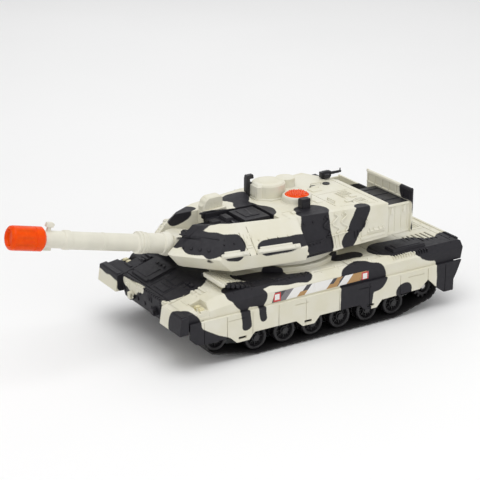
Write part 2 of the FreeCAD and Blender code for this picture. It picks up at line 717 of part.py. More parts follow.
def headlamps():
    middle = f"({LAMP_Y} + 11)"
    base = box((f"{LAMP_X} + 2", f"{LAMP_X} + 7"), (f"{middle} - 4", f"{middle} + 4"), (LAMP_Z, f"{LAMP_Z} + 4.6"))
    lens = rod("X", (f"{LAMP_X} + 6.9", middle, f"{LAMP_Z} + 2.4"), "2", "1.6")
    lamp = fuse(base, lens)
    finish("headlamps", group(lamp, other_side(lamp)))


def tow_fittings():
    hooks = []
    for y in both_y("19"):
        lug = prism("XZ", [
            (f"{NOSE_X} - 3", "guard_bottom - 1"),
            (f"{NOSE_X} + 3.4", "guard_bottom"),
            (f"{NOSE_X} + 3.4", "guard_bottom + 5"),
            (f"{NOSE_X} - 3", "guard_bottom + 6"),
        ], f"{y} - 2", f"{y} + 2")
        eye = rod("Y", (f"{NOSE_X} + 1.6", f"{y} - 4", "guard_bottom + 2.6"), "1", "8")
        hooks.append(cut(lug, eye, nose_block(), tow_room()))
    finish("tow_hooks", group(*hooks))


def tow_room():
    """Space behind the nose plate that the tow lugs don't reach into."""
    return box((NOSE_BACK, f"{NOSE_X} - 2.6"), (f"-{GUARD_INNER}", GUARD_INNER), ("tub_bottom", "nose_height"))


def side_stickers():
    stickers = []
    for side in (1, -1):
        film = prism("XZ", [
            ("-46", "skirt_top + 2"), ("38", "skirt_top + 0.8"),
            ("45", "skirt_top + 0.8"), ("42", "shoulder_height - 0.8"),
            ("-46", "shoulder_height - 0.8"),
        ], HULL_SIDE, f"{HULL_SIDE} + 0.2")
        stickers.append(film if side > 0 else other_side(film))
    finish("side_stickers", group(*stickers))


# ---------------------------------------------------------------- running gear

def left_tangent(a, b):
    """Points where the outside tangent touches circle a, then b, going round anticlockwise."""
    (ax, az, ar), (bx, bz, br) = a, b
    span = math.hypot(bx - ax, bz - az)
    along = math.atan2(bz - az, bx - ax)
    turn = along - math.pi / 2 + math.asin((ar - br) / span)
    spoke = (math.cos(turn), math.sin(turn))
    return ((ax + ar * spoke[0], az + ar * spoke[1]), (bx + br * spoke[0], bz + br * spoke[1]))


def belt_loop(circles):
    """Wire of straight runs and arcs round circles given anticlockwise as (x, z, radius)."""
    count = len(circles)
    runs = [left_tangent(circles[index], circles[(index + 1) % count]) for index in range(count)]
    edges = []
    for index in range(count):
        start, end = runs[index]
        edges.append(Part.LineSegment(FreeCAD.Vector(start[0], 0, start[1]),
                                      FreeCAD.Vector(end[0], 0, end[1])).toShape())
        x, z, radius = circles[(index + 1) % count]
        leave = runs[(index + 1) % count][0]
        first = math.atan2(end[1] - z, end[0] - x)
        last = math.atan2(leave[1] - z, leave[0] - x)
        if last < first:
            last += 2 * math.pi
        half = (first + last) / 2
        middle = FreeCAD.Vector(x + radius * math.cos(half), 0, z + radius * math.sin(half))
        edges.append(Part.Arc(FreeCAD.Vector(end[0], 0, end[1]), middle,
                              FreeCAD.Vector(leave[0], 0, leave[1])).toShape())
    return Part.Wire(edges)


def tracks():
    """Rubber tracks: a loop round idler, sprocket and the first and last road wheels."""
    wheel_z = size("belt_thickness") + size("play") + size("wheel_radius")
    front = size("wheel_front")
    rear = front - (WHEELS - 1) * size("wheel_pitch")
    axles = [
        (rear, wheel_z, size("wheel_radius")),
        (front, wheel_z, size("wheel_radius")),
        (size("idler_front"), size("idler_height"), size("idler_radius")),
        (-size("sprocket_rear"), size("sprocket_height"), size("sprocket_radius")),
    ]
    inner_loop = belt_loop([(x, z, radius + size("play")) for x, z, radius in axles])
    grown = size("play") + size("belt_thickness")
    outer_loop = belt_loop([(x, z, radius + grown) for x, z, radius in axles])
    width = FreeCAD.Vector(0, size("track_width"), 0)
    for label, start in (("left_track", TRACK_INNER), ("right_track", f"-{TRACK_OUTER}")):
        band = doc.addObject("Part::Feature", unique("belt"))
        band.Shape = Part.Face(outer_loop).extrude(width).cut(Part.Face(inner_loop).extrude(width))
        finish(label, band, at=("0", start, "0"))


def wheel_blank(body, outer, dish, hub, bore):
    """Wheel about the Y axis, centred on its width, dished on its outer face."""
    half = f"({WHEEL_OUTER} - {WHEEL_INNER}) / 2"
    turned(body, [
        (f"-{half}", bore), (f"{half} - 1", bore), (f"{half} - 1", hub), (f"{half} - 3.5", hub),
        (f"{half} - 4.5", dish), (f"{half} - 1", f"{dish} + 0.5"), (f"{half} - 0.4", f"{outer} - 0.5"),
        (f"{half} - 1", outer), (f"-{half} + 0.6", outer), (f"-{half}", f"{outer} - 0.6"),
    ])


def road_wheels():
    middle = f"({WHEEL_OUTER} + {WHEEL_INNER}) / 2"
    for name, side in (("left", ""), ("right", "-")):
        for index in range(WHEELS):
            body = new_body("wheel")
            wheel_blank(body, "wheel_radius", "rim_radius", "3", "axle_radius + fit")
            drilled_ring(body, "5", "0.8", 6)
            if side:
                turn_round(body)
            finish(f"{name}_wheel_{index + 1}", body, at=(wheel_x(index), f"{side}({middle})", WHEEL_Z))
        idler = new_body("idler")
        wheel_blank(idler, "idler_radius", "idler_radius - 2.4", "3", "axle_radius + fit")
        drilled_ring(idler, "5", "1.2", 8)
        if side:
            turn_round(idler)
        finish(f"{name}_idler", idler, at=("idler_front", f"{side}({middle})", "idler_height"))


def turn_round(thing):
    """Face a piece the other way, for the right side."""
    thing.Placement = FreeCAD.Placement(FreeCAD.Vector(), FreeCAD.Rotation(FreeCAD.Vector(0, 0, 1), 180))


def wheel_axles():
    pins = []
    for x, z in AXLES:
        pin = rod("Y", (x, TUB_IN, z), "axle_radius", f"{WHEEL_OUTER} - {TUB_IN} - 0.8")
        head = rod("Y", (x, f"{WHEEL_OUTER} - 0.8", z), "axle_radius + 1", "0.8")
        stub = fuse(pin, head)
        pins += [stub, other_side(stub)]
    finish("wheel_axles", group(*pins))


def sprockets():
    middle = f"({WHEEL_OUTER} + {WHEEL_INNER}) / 2"
    half = f"({WHEEL_OUTER} - {WHEEL_INNER}) / 2"
    for name, side in (("left", ""), ("right", "-")):
        body = new_body("sprocket")
        root = "sprocket_radius - 1.8"
        turned(body, [
            (f"-{half}", "shaft_radius"), (f"{half} - 1", "shaft_radius"), (f"{half} - 1", "4"),
            (f"{half} - 3", "4.5"), (f"{half} - 3", f"{root} - 2"), (f"{half} - 0.5", f"{root} - 1"),
            (f"{half} - 0.5", root), (f"-{half}", root),
        ])
        toothed_ring(body, 12, "sprocket_radius", root, f"{half} - 1")
        if side:
            turn_round(body)
        finish(f"{name}_sprocket", body, at=("-sprocket_rear", f"{side}({middle})", SHAFT_Z))


# ---------------------------------------------------------------- drive

FINAL_Y = ("29.6", "(29.6 + gear_thickness)")
FIRST_Y = ("34.6", "(34.6 + gear_thickness)")
MIDDLE_X = f"(-sprocket_rear + {GEAR_STEP})"
MOTOR_X = f"(-sprocket_rear + 2 * {GEAR_STEP})"
CASE_IN = "28"
CASE_OUT = f"({TUB_IN} - 0.6)"
TOOTH = "1.3"


def gear(teeth, tip, start, end, plane="XZ", gap_first=False):
    """Spur gear through (0, 0); a tooth, or the gap between two, points along +X."""
    axis = "Y" if plane == "XZ" else "Z"
    base = ("0", start, "0") if plane == "XZ" else ("0", "0", start)
    core = rod(axis, base, f"{tip} - 1", f"({end}) - ({start})")
    pitch = 2 * math.pi / teeth
    wedges = []
    for index in range(teeth):
        middle = pitch * (index + (0.5 if gap_first else 0))
        corners = []
        for radius, share in ((f"({tip} - {TOOTH})", -0.25), (tip, -0.14), (tip, 0.14), (f"({tip} - {TOOTH})", 0.25)):
            theta = middle + share * pitch
            corners.append((f"{radius} * {math.cos(theta):.4f}", f"{radius} * {math.sin(theta):.4f}"))
        wedges.append(prism(plane, corners, start, end))
    return fuse(core, *wedges)


def drive_train():
    """Two reduction trains, one for each track: pinion, double gear, and geared drive shaft."""
    shafts_end = f"{WHEEL_OUTER} - 1.5"
    cases = []
    for name, side in (("left", 1), ("right", -1)):
        shaft = rod("Y", ("0", f"{CASE_IN} - 1", "0"), "shaft_radius", f"{shafts_end} - {CASE_IN} + 1")
        final = fuse(shaft, gear(20, "gear_radius", *FINAL_Y))
        final = final if side > 0 else other_side(final)
        finish(f"{name}_drive_shaft", final, at=("-sprocket_rear", "0", SHAFT_Z))
        arbor = rod("Y", ("0", f"{CASE_IN} - 1", "0"), "1.2", f"{CASE_OUT} - {CASE_IN} + 1")
        double = fuse(arbor, gear(8, "pinion_radius", FINAL_Y[0], FIRST_Y[0], gap_first=True),
                      gear(20, "gear_radius", *FIRST_Y))
        double = double if side > 0 else other_side(double)
        finish(f"{name}_reduction_gear", double, at=(MIDDLE_X, "0", SHAFT_Z))
        pinion = fuse(gear(8, "pinion_radius", *FIRST_Y, gap_first=True),
                      rod("Y", ("0", f"{CASE_IN} + 1.5", "0"), "1", f"{FIRST_Y[1]} - {CASE_IN} - 1.5"))
        pinion = pinion if side > 0 else other_side(pinion)
        finish(f"{name}_motor_pinion", pinion, at=(MOTOR_X, "0", SHAFT_Z))
        plates = []
        high = f"({SHAFT_Z} + gear_radius + 1)"
        for start, end in ((CASE_IN, f"{CASE_IN} + 1.2"), (f"{CASE_OUT} - 1.2", CASE_OUT)):
            plates.append(box(("-sprocket_rear - 9", f"{MOTOR_X} + 9"), (start, end), (TUB_FLOOR, high)))
        roof = box(("-sprocket_rear - 9", f"{MOTOR_X} + 9"), (CASE_IN, CASE_OUT), (high, f"{high} + 1.2"))
        holes = [
            rod("Y", ("-sprocket_rear", "10", SHAFT_Z), "shaft_radius + fit", SIDE),
            rod("Y", (MIDDLE_X, "10", SHAFT_Z), "1.2 + fit", SIDE),
            rod("Y", (MOTOR_X, "10", SHAFT_Z), "1.6", SIDE),
        ]
        case = cut(fuse(roof, *plates), *holes)
        cases.append(case if side > 0 else other_side(case))
    finish("gearbox_cases", group(*cases))
    can = rod("Y", (MOTOR_X, f"{CASE_IN} - motor_length", SHAFT_Z), "motor_radius", "motor_length")
    boss = rod("Y", (MOTOR_X, CASE_IN, SHAFT_Z), "1.5", "1.4")
    flat = box((f"{MOTOR_X} - motor_radius", f"{MOTOR_X} + motor_radius"),
               (f"{CASE_IN} - motor_length + 1", f"{CASE_IN} - 1"),
               (f"{SHAFT_Z} + motor_radius * 0.8", f"{SHAFT_Z} + motor_radius * 1.1"))
    motor = cut(fuse(can, boss), flat)
    finish("drive_motors", group(motor, other_side(motor)))


# ---------------------------------------------------------------- turret drive

RING_Z = ("(deck_height - 8)", "(deck_height - 4)")
RING_TIP = f"({HUB_RADIUS} + 6)"
TURRET_MOTOR_X = f"({RING_TIP} + pinion_radius - tooth_mesh / 2)"


def turret_drive():
    """Ring gear under the turret's hub, and the upright motor and pinion that turn it."""
    ring = cut(gear(40, RING_TIP, *RING_Z, plane="XY"),
               rod("Z", ("0", "0", f"{RING_Z[0]} - 1"), f"{HUB_RADIUS} - 2", "6"))
    finish("turret_gear", ring)
    pinion = fuse(gear(8, "pinion_radius", *RING_Z, plane="XY", gap_first=True),
                  rod("Z", ("0", "0", f"{RING_Z[0]} - 3"), "1", "4"))
    finish("turret_pinion", pinion, at=(TURRET_MOTOR_X, "0", "0"))
    can = rod("Z", (TURRET_MOTOR_X, "0", f"{RING_Z[0]} - 27"), "7", "23")
    boss = rod("Z", (TURRET_MOTOR_X, "0", f"{RING_Z[0]} - 4"), "2.5", "0.8")
    bed = box((f"{TURRET_MOTOR_X} - 6", f"{TURRET_MOTOR_X} + 6"), ("-9", "9"),
              (f"{RING_Z[0]} - 29.4", f"{RING_Z[0]} - 27"))
    leg = box((f"{TURRET_MOTOR_X} - 6", f"{TURRET_MOTOR_X} + 6"), ("6", "9"), (TUB_FLOOR, f"{RING_Z[0]} - 27"))
    finish("turret_motor", fuse(can, boss, bed, both(leg)))


# ---------------------------------------------------------------- turret

def cavity(inset, low, high):
    """Plan of the turret's hollow, moved inwards."""
    back = f"-(roof_rear - wall) + {inset}"
    return prism("XY", [
        (back, f"-(bustle_half - 2 * wall) + {inset}"),
        ("-20", f"-(bustle_half - 4.5 * wall) + {inset}"),
        (f"ridge_bend_x - 6 - {inset}", f"-(ridge_bend_y - wall) + {inset}"),
        (f"ridge_bend_x - 6 - {inset}", f"ridge_bend_y - wall - {inset}"),
        ("-20", f"bustle_half - 4.5 * wall - {inset}"),
        (back, f"bustle_half - 2 * wall - {inset}"),
    ], low, high)


def wedge_cavity(inset, low, high):
    """Plan of the hollow in the left wedge, moved inwards."""
    return prism("XY", [
        (f"wedge_end_x + 4 + {inset}", f"gun_slot + 2.5 + {inset}"),
        (f"wedge_tip - 15 - {inset}", f"gun_slot + 2.5 + {inset}"),
        (f"wedge_tip - 15 - {inset}", f"gun_slot + 6 - {inset}"),
        (f"wedge_corner_x - 10 - {inset}", f"wedge_corner_y - 7 - {inset}"),
        (f"wedge_end_x + 4 + {inset}", f"wedge_end_y - 9 - {inset}"),
    ], low, high)


def plan(height, corners):
    """Level outline of the turret's front, mirrored about the middle plane."""
    sketch = free_sketch("XY", height)
    polygon(sketch, corners + [(x, f"-({y})") for x, y in reversed(corners)])
    return sketch


def turret_front():
    """Arrow-shaped front: bottom outline, knife-edge lip, roof outline."""
    low = plan("turret_bottom", [
        ("wedge_tip - 9", "gun_slot"), ("wedge_tip - 11", TIP_Y), ("wedge_corner_x - 11", "wedge_corner_y + 1"),
        ("wedge_end_x", "wedge_end_y - 2"),
    ])
    lip = plan("lip_height", [
        ("wedge_tip", "gun_slot"), ("wedge_tip - 1", TIP_Y), ("wedge_corner_x", "wedge_corner_y"),
        ("wedge_end_x", "wedge_end_y"),
    ])
    roof = plan("roof_height", [
        ("ridge_front", "gun_slot"), ("ridge_front - 4", TIP_Y), ("ridge_bend_x", "ridge_bend_y"),
        ("wedge_end_x", "ridge_bend_y + 12"),
    ])
    return fuse(loft([low, lip]), loft([lip, roof]))


def bustle():
    """Rear of the turret: leaning sides at the front, upright at the back."""
    sections = []
    for at, foot, top, low in (
            ("wedge_end_x + 6", "bustle_half + 2.5", "ridge_bend_y + 11", "turret_bottom"),
            ("-roof_rear", "bustle_half", "bustle_half", "bustle_bottom")):
        sketch = free_sketch("YZ", at)
        polygon(sketch, [
            (f"-({foot})", low), (foot, low), (top, "roof_height"), (f"-({top})", "roof_height"),
        ])
        sections.append(sketch)
    return loft(sections)


def turret_shell():
    outer = fuse(turret_front(), bustle())
    slot = box(("mantlet_back", "wedge_tip + 1"), ("-gun_slot", "gun_slot"),
               ("turret_bottom - 1", "roof_height + 1"))
    trench = prism("XY", [
        ("wedge_end_x + 12", "-2"), ("wedge_end_x + 12", "ridge_bend_y + 6.5"),
        ("ridge_bend_x - 1", "ridge_bend_y - 3"), ("ridge_front - 5", "gun_slot + 1"),
        ("mantlet_back + 6", "gun_slot + 0.01"), ("mantlet_back + 6", "-2"),
    ], "roof_height - roof_step", "roof_height + 1")
    corner = prism("XY", [
        ("-roof_rear - 1", "-bustle_half - 1"), ("-roof_rear - 1", "-16"),
        ("-roof_rear + 6", "-30"), ("-roof_rear + 17", "-bustle_half - 1"),
    ], "roof_height - roof_step", "roof_height + 1")
    hollow = cavity("0", "turret_bottom - 1", "roof_height - roof_step - wall")
    wedges = both(wedge_cavity("0", "turret_bottom - 1", "lip_height + 5"))
    pin = rod("Y", ("trunnion_x", "-gun_slot - 3", "trunnion_z"), "pin_radius", "2 * gun_slot + 6")
    window = box(("mantlet_back - 12", "mantlet_back + 1"), ("-gun_slot + 1.5", "gun_slot - 1.5"),
                 ("turret_bottom - 1", "trunnion_z + 9"))
    rest = cut(outer, slot, trench, corner, hollow, wedges, pin, window)
    vents = []
    for x, y in (("-roof_rear + 12", "22"), ("-roof_rear + 26", "-12"), ("-roof_rear + 22", "30")):
        vents.append(box((x, f"{x} + 6"), (y, f"{y} + 4"), ("roof_height - 0.01", "roof_height + 1.2")))
    mound = common(
        prism("XZ", [
            ("hood_front - hood_length - 0.2", "roof_height - 0.5"),
            ("hood_front - hood_length - 0.2", "roof_height + 1.5"),
            ("-cupola_x + cupola_radius + 5.5", "roof_height + 5"),
            ("-cupola_x + cupola_radius + 5.5", "roof_height - 0.5"),
        ], "-ridge_bend_y", "-4"),
        prism("YZ", [
            ("-ridge_bend_y", "roof_height - 0.5"), ("-ridge_bend_y + 2", "roof_height + 5.5"),
            ("-ridge_bend_y + 9", "roof_height + 5.5"), ("-6", "roof_height - 0.5"),
        ], "0", "hood_front"))
    vent = rod("Z", ("-27", "-28", "roof_height - 0.01"), "8", "7.5")
    lamp = box(("-hatch_x", f"-hatch_x + 8"), ("hatch_y + hatch_radius + 1.5", "hatch_y + hatch_radius + 7.5"),
               ("roof_height - 0.01", "roof_height + 8"))
    pads = [
        rod("Z", ("-hatch_x", "hatch_y", "roof_height - 0.01"), "hatch_radius + 0.8", "1"),
        rod("Z", ("-cupola_x", "-cupola_y", "roof_height - 0.01"), "cupola_radius + 0.4", "1"),
    ]
    joined = fuse(rest, lamp, mound, vent, *vents, *pads)
    holes = [
        rod("Z", ("-hatch_x", "hatch_y", "roof_height - 12"), "4", "20"),
        rod("Z", ("-(roof_rear - 9)", "-27", "roof_height - 12"), "1.5 + fit", "20"),
    ]
    finish("turret_shell", cut(joined, *holes))


def turret_base():
    plate = cavity("play", "turret_bottom + 0.2", "turret_bottom + 2.2")
    flange = rod("Z", ("0", "0", f"{COLLAR_TOP} + ring_gap"), "ring_radius",
                 f"turret_bottom - {COLLAR_TOP} - ring_gap")
    hub = rod("Z", ("0", "0", RING_Z[1]), HUB_RADIUS, f"turret_bottom + 1 - {RING_Z[1]}")
    well = rod("Z", ("0", "0", "deck_height - 10"), f"{HUB_RADIUS} - 2", "40")
    covers = both(wedge_cavity("play", "turret_bottom + 0.2", "turret_bottom + 2.2"))
    finish("turret_base", cut(fuse(plate, covers, flange, hub), well))


def roof_pieces():
    drum = new_body("cupola")
    sketch = body_sketch(drum, "XZ")
    polygon(sketch, [
        ("0", "0"), ("cupola_radius", "0"), ("cupola_radius", "cupola_height - 2.2"),
        ("cupola_radius - 1.2", "cupola_height - 1"), ("cupola_radius - 5", "cupola_height"),
        ("0", "cupola_height"),
    ])
    spun = drum.newObject("PartDesign::Revolution", unique("spun"))
    spun.Profile = sketch
    spun.ReferenceAxis = (sketch, ["V_Axis"])
    spun.Angle = 360
    finish("commander_cupola", drum, at=("-cupola_x", "-cupola_y", "roof_height + 0.99"))

    front = "-cupola_x + cupola_radius"
    sight = box((f"{front} - 7", f"{front} + 1.6"), ("-cupola_y - 5.5", "-cupola_y + 8.5"),
                ("roof_height", "roof_height + cupola_height - 0.5"))
    drum_room = rod("Z", ("-cupola_x", "-cupola_y", "roof_height - 1"), "cupola_radius + 0.5", "cupola_height + 2")
    mast = box((f"{front} + 1.6", f"{front} + 5"), ("-cupola_y - 7", "-cupola_y - 2.5"),
               ("roof_height", "roof_height + 18.5"))
    brow = box((f"{front} - 1", f"{front} + 5"), ("-cupola_y - 7", "-cupola_y - 2.5"),
               ("roof_height + 17.6", "roof_height + 18.5"))
    finish("commander_periscope", fuse(cut(sight, drum_room), mast, brow))

    ring = new_body("hatch")
    sketch = body_sketch(ring, "XZ")
    polygon(sketch, [
        ("4", "0"), ("hatch_radius", "0"), ("hatch_radius", "hatch_height - 1.5"),
        ("hatch_radius - 1", "hatch_height"), ("lens_radius + fit", "hatch_height"),
        ("lens_radius + fit", "hatch_height - 2.2"), ("4", "hatch_height - 2.2"),
    ])
    spun = ring.newObject("PartDesign::Revolution", unique("spun"))
    spun.Profile = sketch
    spun.ReferenceAxis = (sketch, ["V_Axis"])
    spun.Angle = 360
    finish("loader_hatch", ring, at=("-hatch_x", "hatch_y", "roof_height + 0.99"))

    dome = new_body("lens")
    sketch = body_sketch(dome, "XZ")
    polygon(sketch, [
        ("0", "0"), ("lens_radius", "0"), ("lens_radius", "2.2"),
        ("lens_radius * 0.7", "2.2 + lens_dome * 0.7"), ("lens_radius * 0.3", "2.2 + lens_dome"),
        ("0", "2.2 + lens_dome"),
    ])
    spun = dome.newObject("PartDesign::Revolution", unique("spun"))
    spun.Profile = sketch
    spun.ReferenceAxis = (sketch, ["V_Axis"])
    spun.Angle = 360
    finish("hatch_lens", dome, at=("-hatch_x", "hatch_y", "roof_height + hatch_height - 1.21"))

    led = rod("Z", ("-hatch_x", "hatch_y", "roof_height - 5"), "2.5", "5.5")
    tip = doc.addObject("Part::Sphere", unique("tip"))
    bind(tip, "Radius", "2.5")
    place(tip, "-hatch_x", "hatch_y", "roof_height + 0.5")
    collar = rod("Z", ("-hatch_x", "hatch_y", "roof_height - 3"), "4 - fit", "1")
    finish("lens_led", fuse(led, tip, collar))

    rear = "hood_front - hood_length"
    hood = prism("XZ", [
        (rear, "roof_height"), ("hood_front", "roof_height"), ("hood_front", "roof_height + 3"),
        ("hood_front - 1.5", "roof_height + hood_height - 3"),
        ("hood_front - 5", "roof_height + hood_height - 0.4"),
        (f"{rear} + 2", "roof_height + hood_height"), (rear, "roof_height + hood_height - 2"),
    ], "-hood_width - 6", "-6")
    window = box(("hood_front - 3", "hood_front + 1"), ("-hood_width - 4.5", "-7.5"),
                 ("roof_height + 1.4", "roof_height + hood_height - 5"))
    finish("gunner_sight", cut(hood, window))

    floor = box(("-basket_rear", "-roof_rear"), ("-(bustle_half - 2)", "bustle_half - 1"),
                ("bustle_bottom", "bustle_bottom + wall"))
    left_wall = box(("-basket_rear + wall", "-roof_rear"), ("bustle_half - 1 - wall", "bustle_half - 1"),
                    ("bustle_bottom", "roof_height - 3"))
    right_wall = box(("-basket_rear + wall", "-roof_rear"), ("-(bustle_half - 2)", "-(bustle_half - 2) + wall"),
                     ("bustle_bottom", "roof_height - 9"))
    tall = box(("-basket_rear", "-basket_rear + wall"), ("-basket_right", "bustle_half + 1"),
               ("bustle_bottom", "basket_top"))
    short = box(("-basket_rear", "-basket_rear + wall"), ("-(bustle_half - 2)", "-basket_right + 1"),
                ("bustle_bottom", "roof_height - 8"))
    finish("stowage_basket", fuse(floor, left_wall, right_wall, tall, short))
    bin_body = box(("-basket_rear + wall + 0.3", "-roof_rear - 0.3"),
                   ("4", "bustle_half - 1.3 - wall"),
                   ("bustle_bottom + wall", "roof_height - 5"))
    bin_lid = box(("-basket_rear + wall + 0.3", "-roof_rear - 0.3"), ("3.4", "bustle_half - 1.3 - wall"),
                  ("roof_height - 5", "roof_height - 3"))
    finish("stowage_bin", fuse(bin_body, bin_lid))

    pin = rod("Z", ("0", "0", "roof_height - 6"), "1.5", "7")
    body = box(("-7", "3"), ("-1.9", "1.9"), ("roof_height + 1", "roof_height + 6"))
    barrel = rod("X", ("-18", "0", "roof_height + 3.6"), "0.9", "12")
    front_sight = box(("-17.6", "-16.6"), ("-0.4", "0.4"), ("roof_height + 4", "roof_height + 6.6"))
    drum_box = box(("-4", "1"), ("1.9", "5"), ("roof_height + 1.2", "roof_height + 4.6"))
    finish("machine_gun", fuse(pin, body, barrel, front_sight, drum_box),
           at=("-(roof_rear - 9)", "-27", "0"))


def gun():
    """Gun pieces, drawn level with the pivot at the origin."""
    root = box(("-11.5", "11"), ("-gun_slot + 0.8", "gun_slot - 0.8"), ("-7", "9"))
    nose = loft([gun_section("11", "gun_slot - 0.8", "-7", "9"), gun_section("19", "9", "-8", "8")])
    bore = rod("X", ("-14", "0", "0"), "bore_radius", "40")
    seat = rod("X", ("3", "0", "0"), "sleeve_radius - 1.4", "30")
    cross = rod("Y", ("0", "-gun_slot - 4", "0"), "pin_radius + fit", "2 * gun_slot + 8")
    finish("mantlet", cut(fuse(root, nose), bore, seat, cross), on_gun=True)

    body = new_body("barrel")
    sketch = body_sketch(body, "XZ")
    sleeve = "sleeve_length"
    cap_start = "gun_length - cap_length"
    polygon(sketch, [
        ("3", "bore_radius"), ("3", "sleeve_radius - 1.4"), ("19.2", "sleeve_radius - 1.4"),
        ("19.2", "sleeve_radius + 1.6"), ("25", "sleeve_radius + 0.8"), ("26", "sleeve_radius"),
        (f"{sleeve} - 6", "sleeve_radius"), (f"{sleeve} - 5", "sleeve_radius + 0.8"),
        (sleeve, "sleeve_radius + 0.8"), (f"{sleeve} + 1", "barrel_radius"),
        (f"{cap_start} - 22", "barrel_radius"), (f"{cap_start} - 21.5", "barrel_radius + 0.9"),
        (f"{cap_start} - 16.5", "barrel_radius + 0.9"), (f"{cap_start} - 16", "barrel_radius"),
        (f"{cap_start} + 8", "barrel_radius"), (f"{cap_start} + 8", "bore_radius"),
    ])
    spun = body.newObject("PartDesign::Revolution", unique("spun"))
    spun.Profile = sketch
    spun.ReferenceAxis = (sketch, ["H_Axis"])
    spun.Angle = 360
    stem = box((f"{cap_start} - 5.5", f"{cap_start} - 2.5"), ("-1.2", "1.2"),
               ("barrel_radius - 1", "barrel_radius + 3.1"))
    head = box((f"{cap_start} - 7", f"{cap_start} - 1"), ("-2.2", "2.2"),
               ("barrel_radius + 3", "barrel_radius + 6.5"))
    nub = box((f"{cap_start} - 8", f"{cap_start} - 1"), ("-1.6", "1.6"),
              ("-barrel_radius - 2", "-barrel_radius + 1"))
    finish("gun_barrel", fuse(body, stem, head, nub), on_gun=True)

    cap = new_body("cap")
    sketch = body_sketch(cap, "XZ")
    polygon(sketch, [
        (cap_start, "barrel_radius + fit"), (cap_start, "cap_radius - 1.6"),
        (f"{cap_start} + 1.6", "cap_radius"), ("gun_length - 2.6", "cap_radius"),
        ("gun_length - 0.7", "cap_radius - 1"), ("gun_length", "cap_radius - 3"), ("gun_length", "0"),
        ("gun_length - 2.2", "0"), ("gun_length - 2.2", "cap_radius - 2.8"),
        (f"{cap_start} + 8.2", "cap_radius - 2"), (f"{cap_start} + 8.2", "barrel_radius + fit"),
    ])
    spun = cap.newObject("PartDesign::Revolution", unique("spun"))
    spun.Profile = sketch
    spun.ReferenceAxis = (sketch, ["H_Axis"])
    spun.Angle = 360
    finish("muzzle_cap", cap, on_gun=True)

    stem = rod("X", (f"{cap_start} + 5", "0", "0"), "2.5", "10")
    tip = doc.addObject("Part::Sphere", unique("tip"))
    bind(tip, "Radius", "2.5")
    place(tip, f"{cap_start} + 15", "0", "0")
    flange = rod("X", (f"{cap_start} + 5", "0", "0"), "3", "1")
    finish("muzzle_led", fuse(stem, tip, flange), on_gun=True)

    pin = rod("Y", ("trunnion_x", "-gun_slot - 3", "trunnion_z"), "pin_radius", "2 * gun_slot + 6")
    finish("trunnion_pin", pin)


def gun_section(at, half, low, high):
    """Cross-section of the mantlet."""
    sketch = free_sketch("YZ", at)
    polygon(sketch, [(f"-({half})", low), (half, low), (half, high), (f"-({half})", high)])
    return sketch


def check_and_write():
    """Stop on any failed object, then write one file for each sub-part."""
    doc.recompute()
    for thing in doc.Objects:
        if "Invalid" in thing.State or "Error" in thing.State:
            raise RuntimeError(f"{thing.Name} ({thing.Label}) failed: {thing.State}")
    for part in parts:
        if part.Shape.isNull() or not part.Shape.isValid() or not part.Shape.Solids:
            raise RuntimeError(f"{part.Label} has no sound solid")
    os.makedirs("parts", exist_ok=True)
    for part in parts:
        part.Shape.exportStep(f"parts/{part.Label}.step")
    print(len(parts), "sub-parts written")


lower_hull()
upper_hull()
skirts()
side_stickers()
headlamps()
tow_fittings()
case_screws()
battery_door()
battery_pack()
circuit_board()
speaker()
power_switch()
tracks()
road_wheels()
wheel_axles()
sprockets()
drive_train()
turret_drive()
turret_shell()
turret_base()
roof_pieces()
gun()
check_and_write()
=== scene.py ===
import json
import math

import bmesh
import bpy
from bpy.props import FloatProperty, FloatVectorProperty, IntProperty, PointerProperty
from mathutils import Matrix, Vector
from mathutils.bvhtree import BVHTree


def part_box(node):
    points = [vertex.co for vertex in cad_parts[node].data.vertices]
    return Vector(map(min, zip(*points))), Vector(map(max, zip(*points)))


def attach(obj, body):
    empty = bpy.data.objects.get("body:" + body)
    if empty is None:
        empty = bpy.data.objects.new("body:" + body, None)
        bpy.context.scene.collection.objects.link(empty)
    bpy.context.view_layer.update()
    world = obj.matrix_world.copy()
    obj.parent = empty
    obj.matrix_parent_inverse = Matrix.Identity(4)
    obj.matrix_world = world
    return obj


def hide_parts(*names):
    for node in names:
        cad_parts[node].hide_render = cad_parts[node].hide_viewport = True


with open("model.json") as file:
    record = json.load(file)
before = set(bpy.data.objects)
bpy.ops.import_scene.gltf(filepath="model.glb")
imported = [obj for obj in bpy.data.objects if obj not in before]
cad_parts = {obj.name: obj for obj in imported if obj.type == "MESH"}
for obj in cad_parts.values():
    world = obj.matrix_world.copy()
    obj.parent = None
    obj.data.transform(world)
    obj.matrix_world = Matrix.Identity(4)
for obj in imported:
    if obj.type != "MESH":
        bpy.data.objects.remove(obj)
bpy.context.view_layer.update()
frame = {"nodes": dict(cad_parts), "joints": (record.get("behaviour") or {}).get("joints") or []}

# The looks of a toy battle tank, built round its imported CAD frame. Shapes are written in
# millimetres about the turret's turning axis on the ground: +X forward, +Y left, +Z up.
# TO_FRAME moves them into the frame, which is in metres.

bl_info = {
    "name": "Toy battle tank",
    "version": (1, 0, 0),
    "blender": (4, 5, 0),
    "location": "3D View > Sidebar > Tank",
    "description": "Moulded shells, running gear, fittings and finishes of a toy battle tank",
    "category": "Object",
}

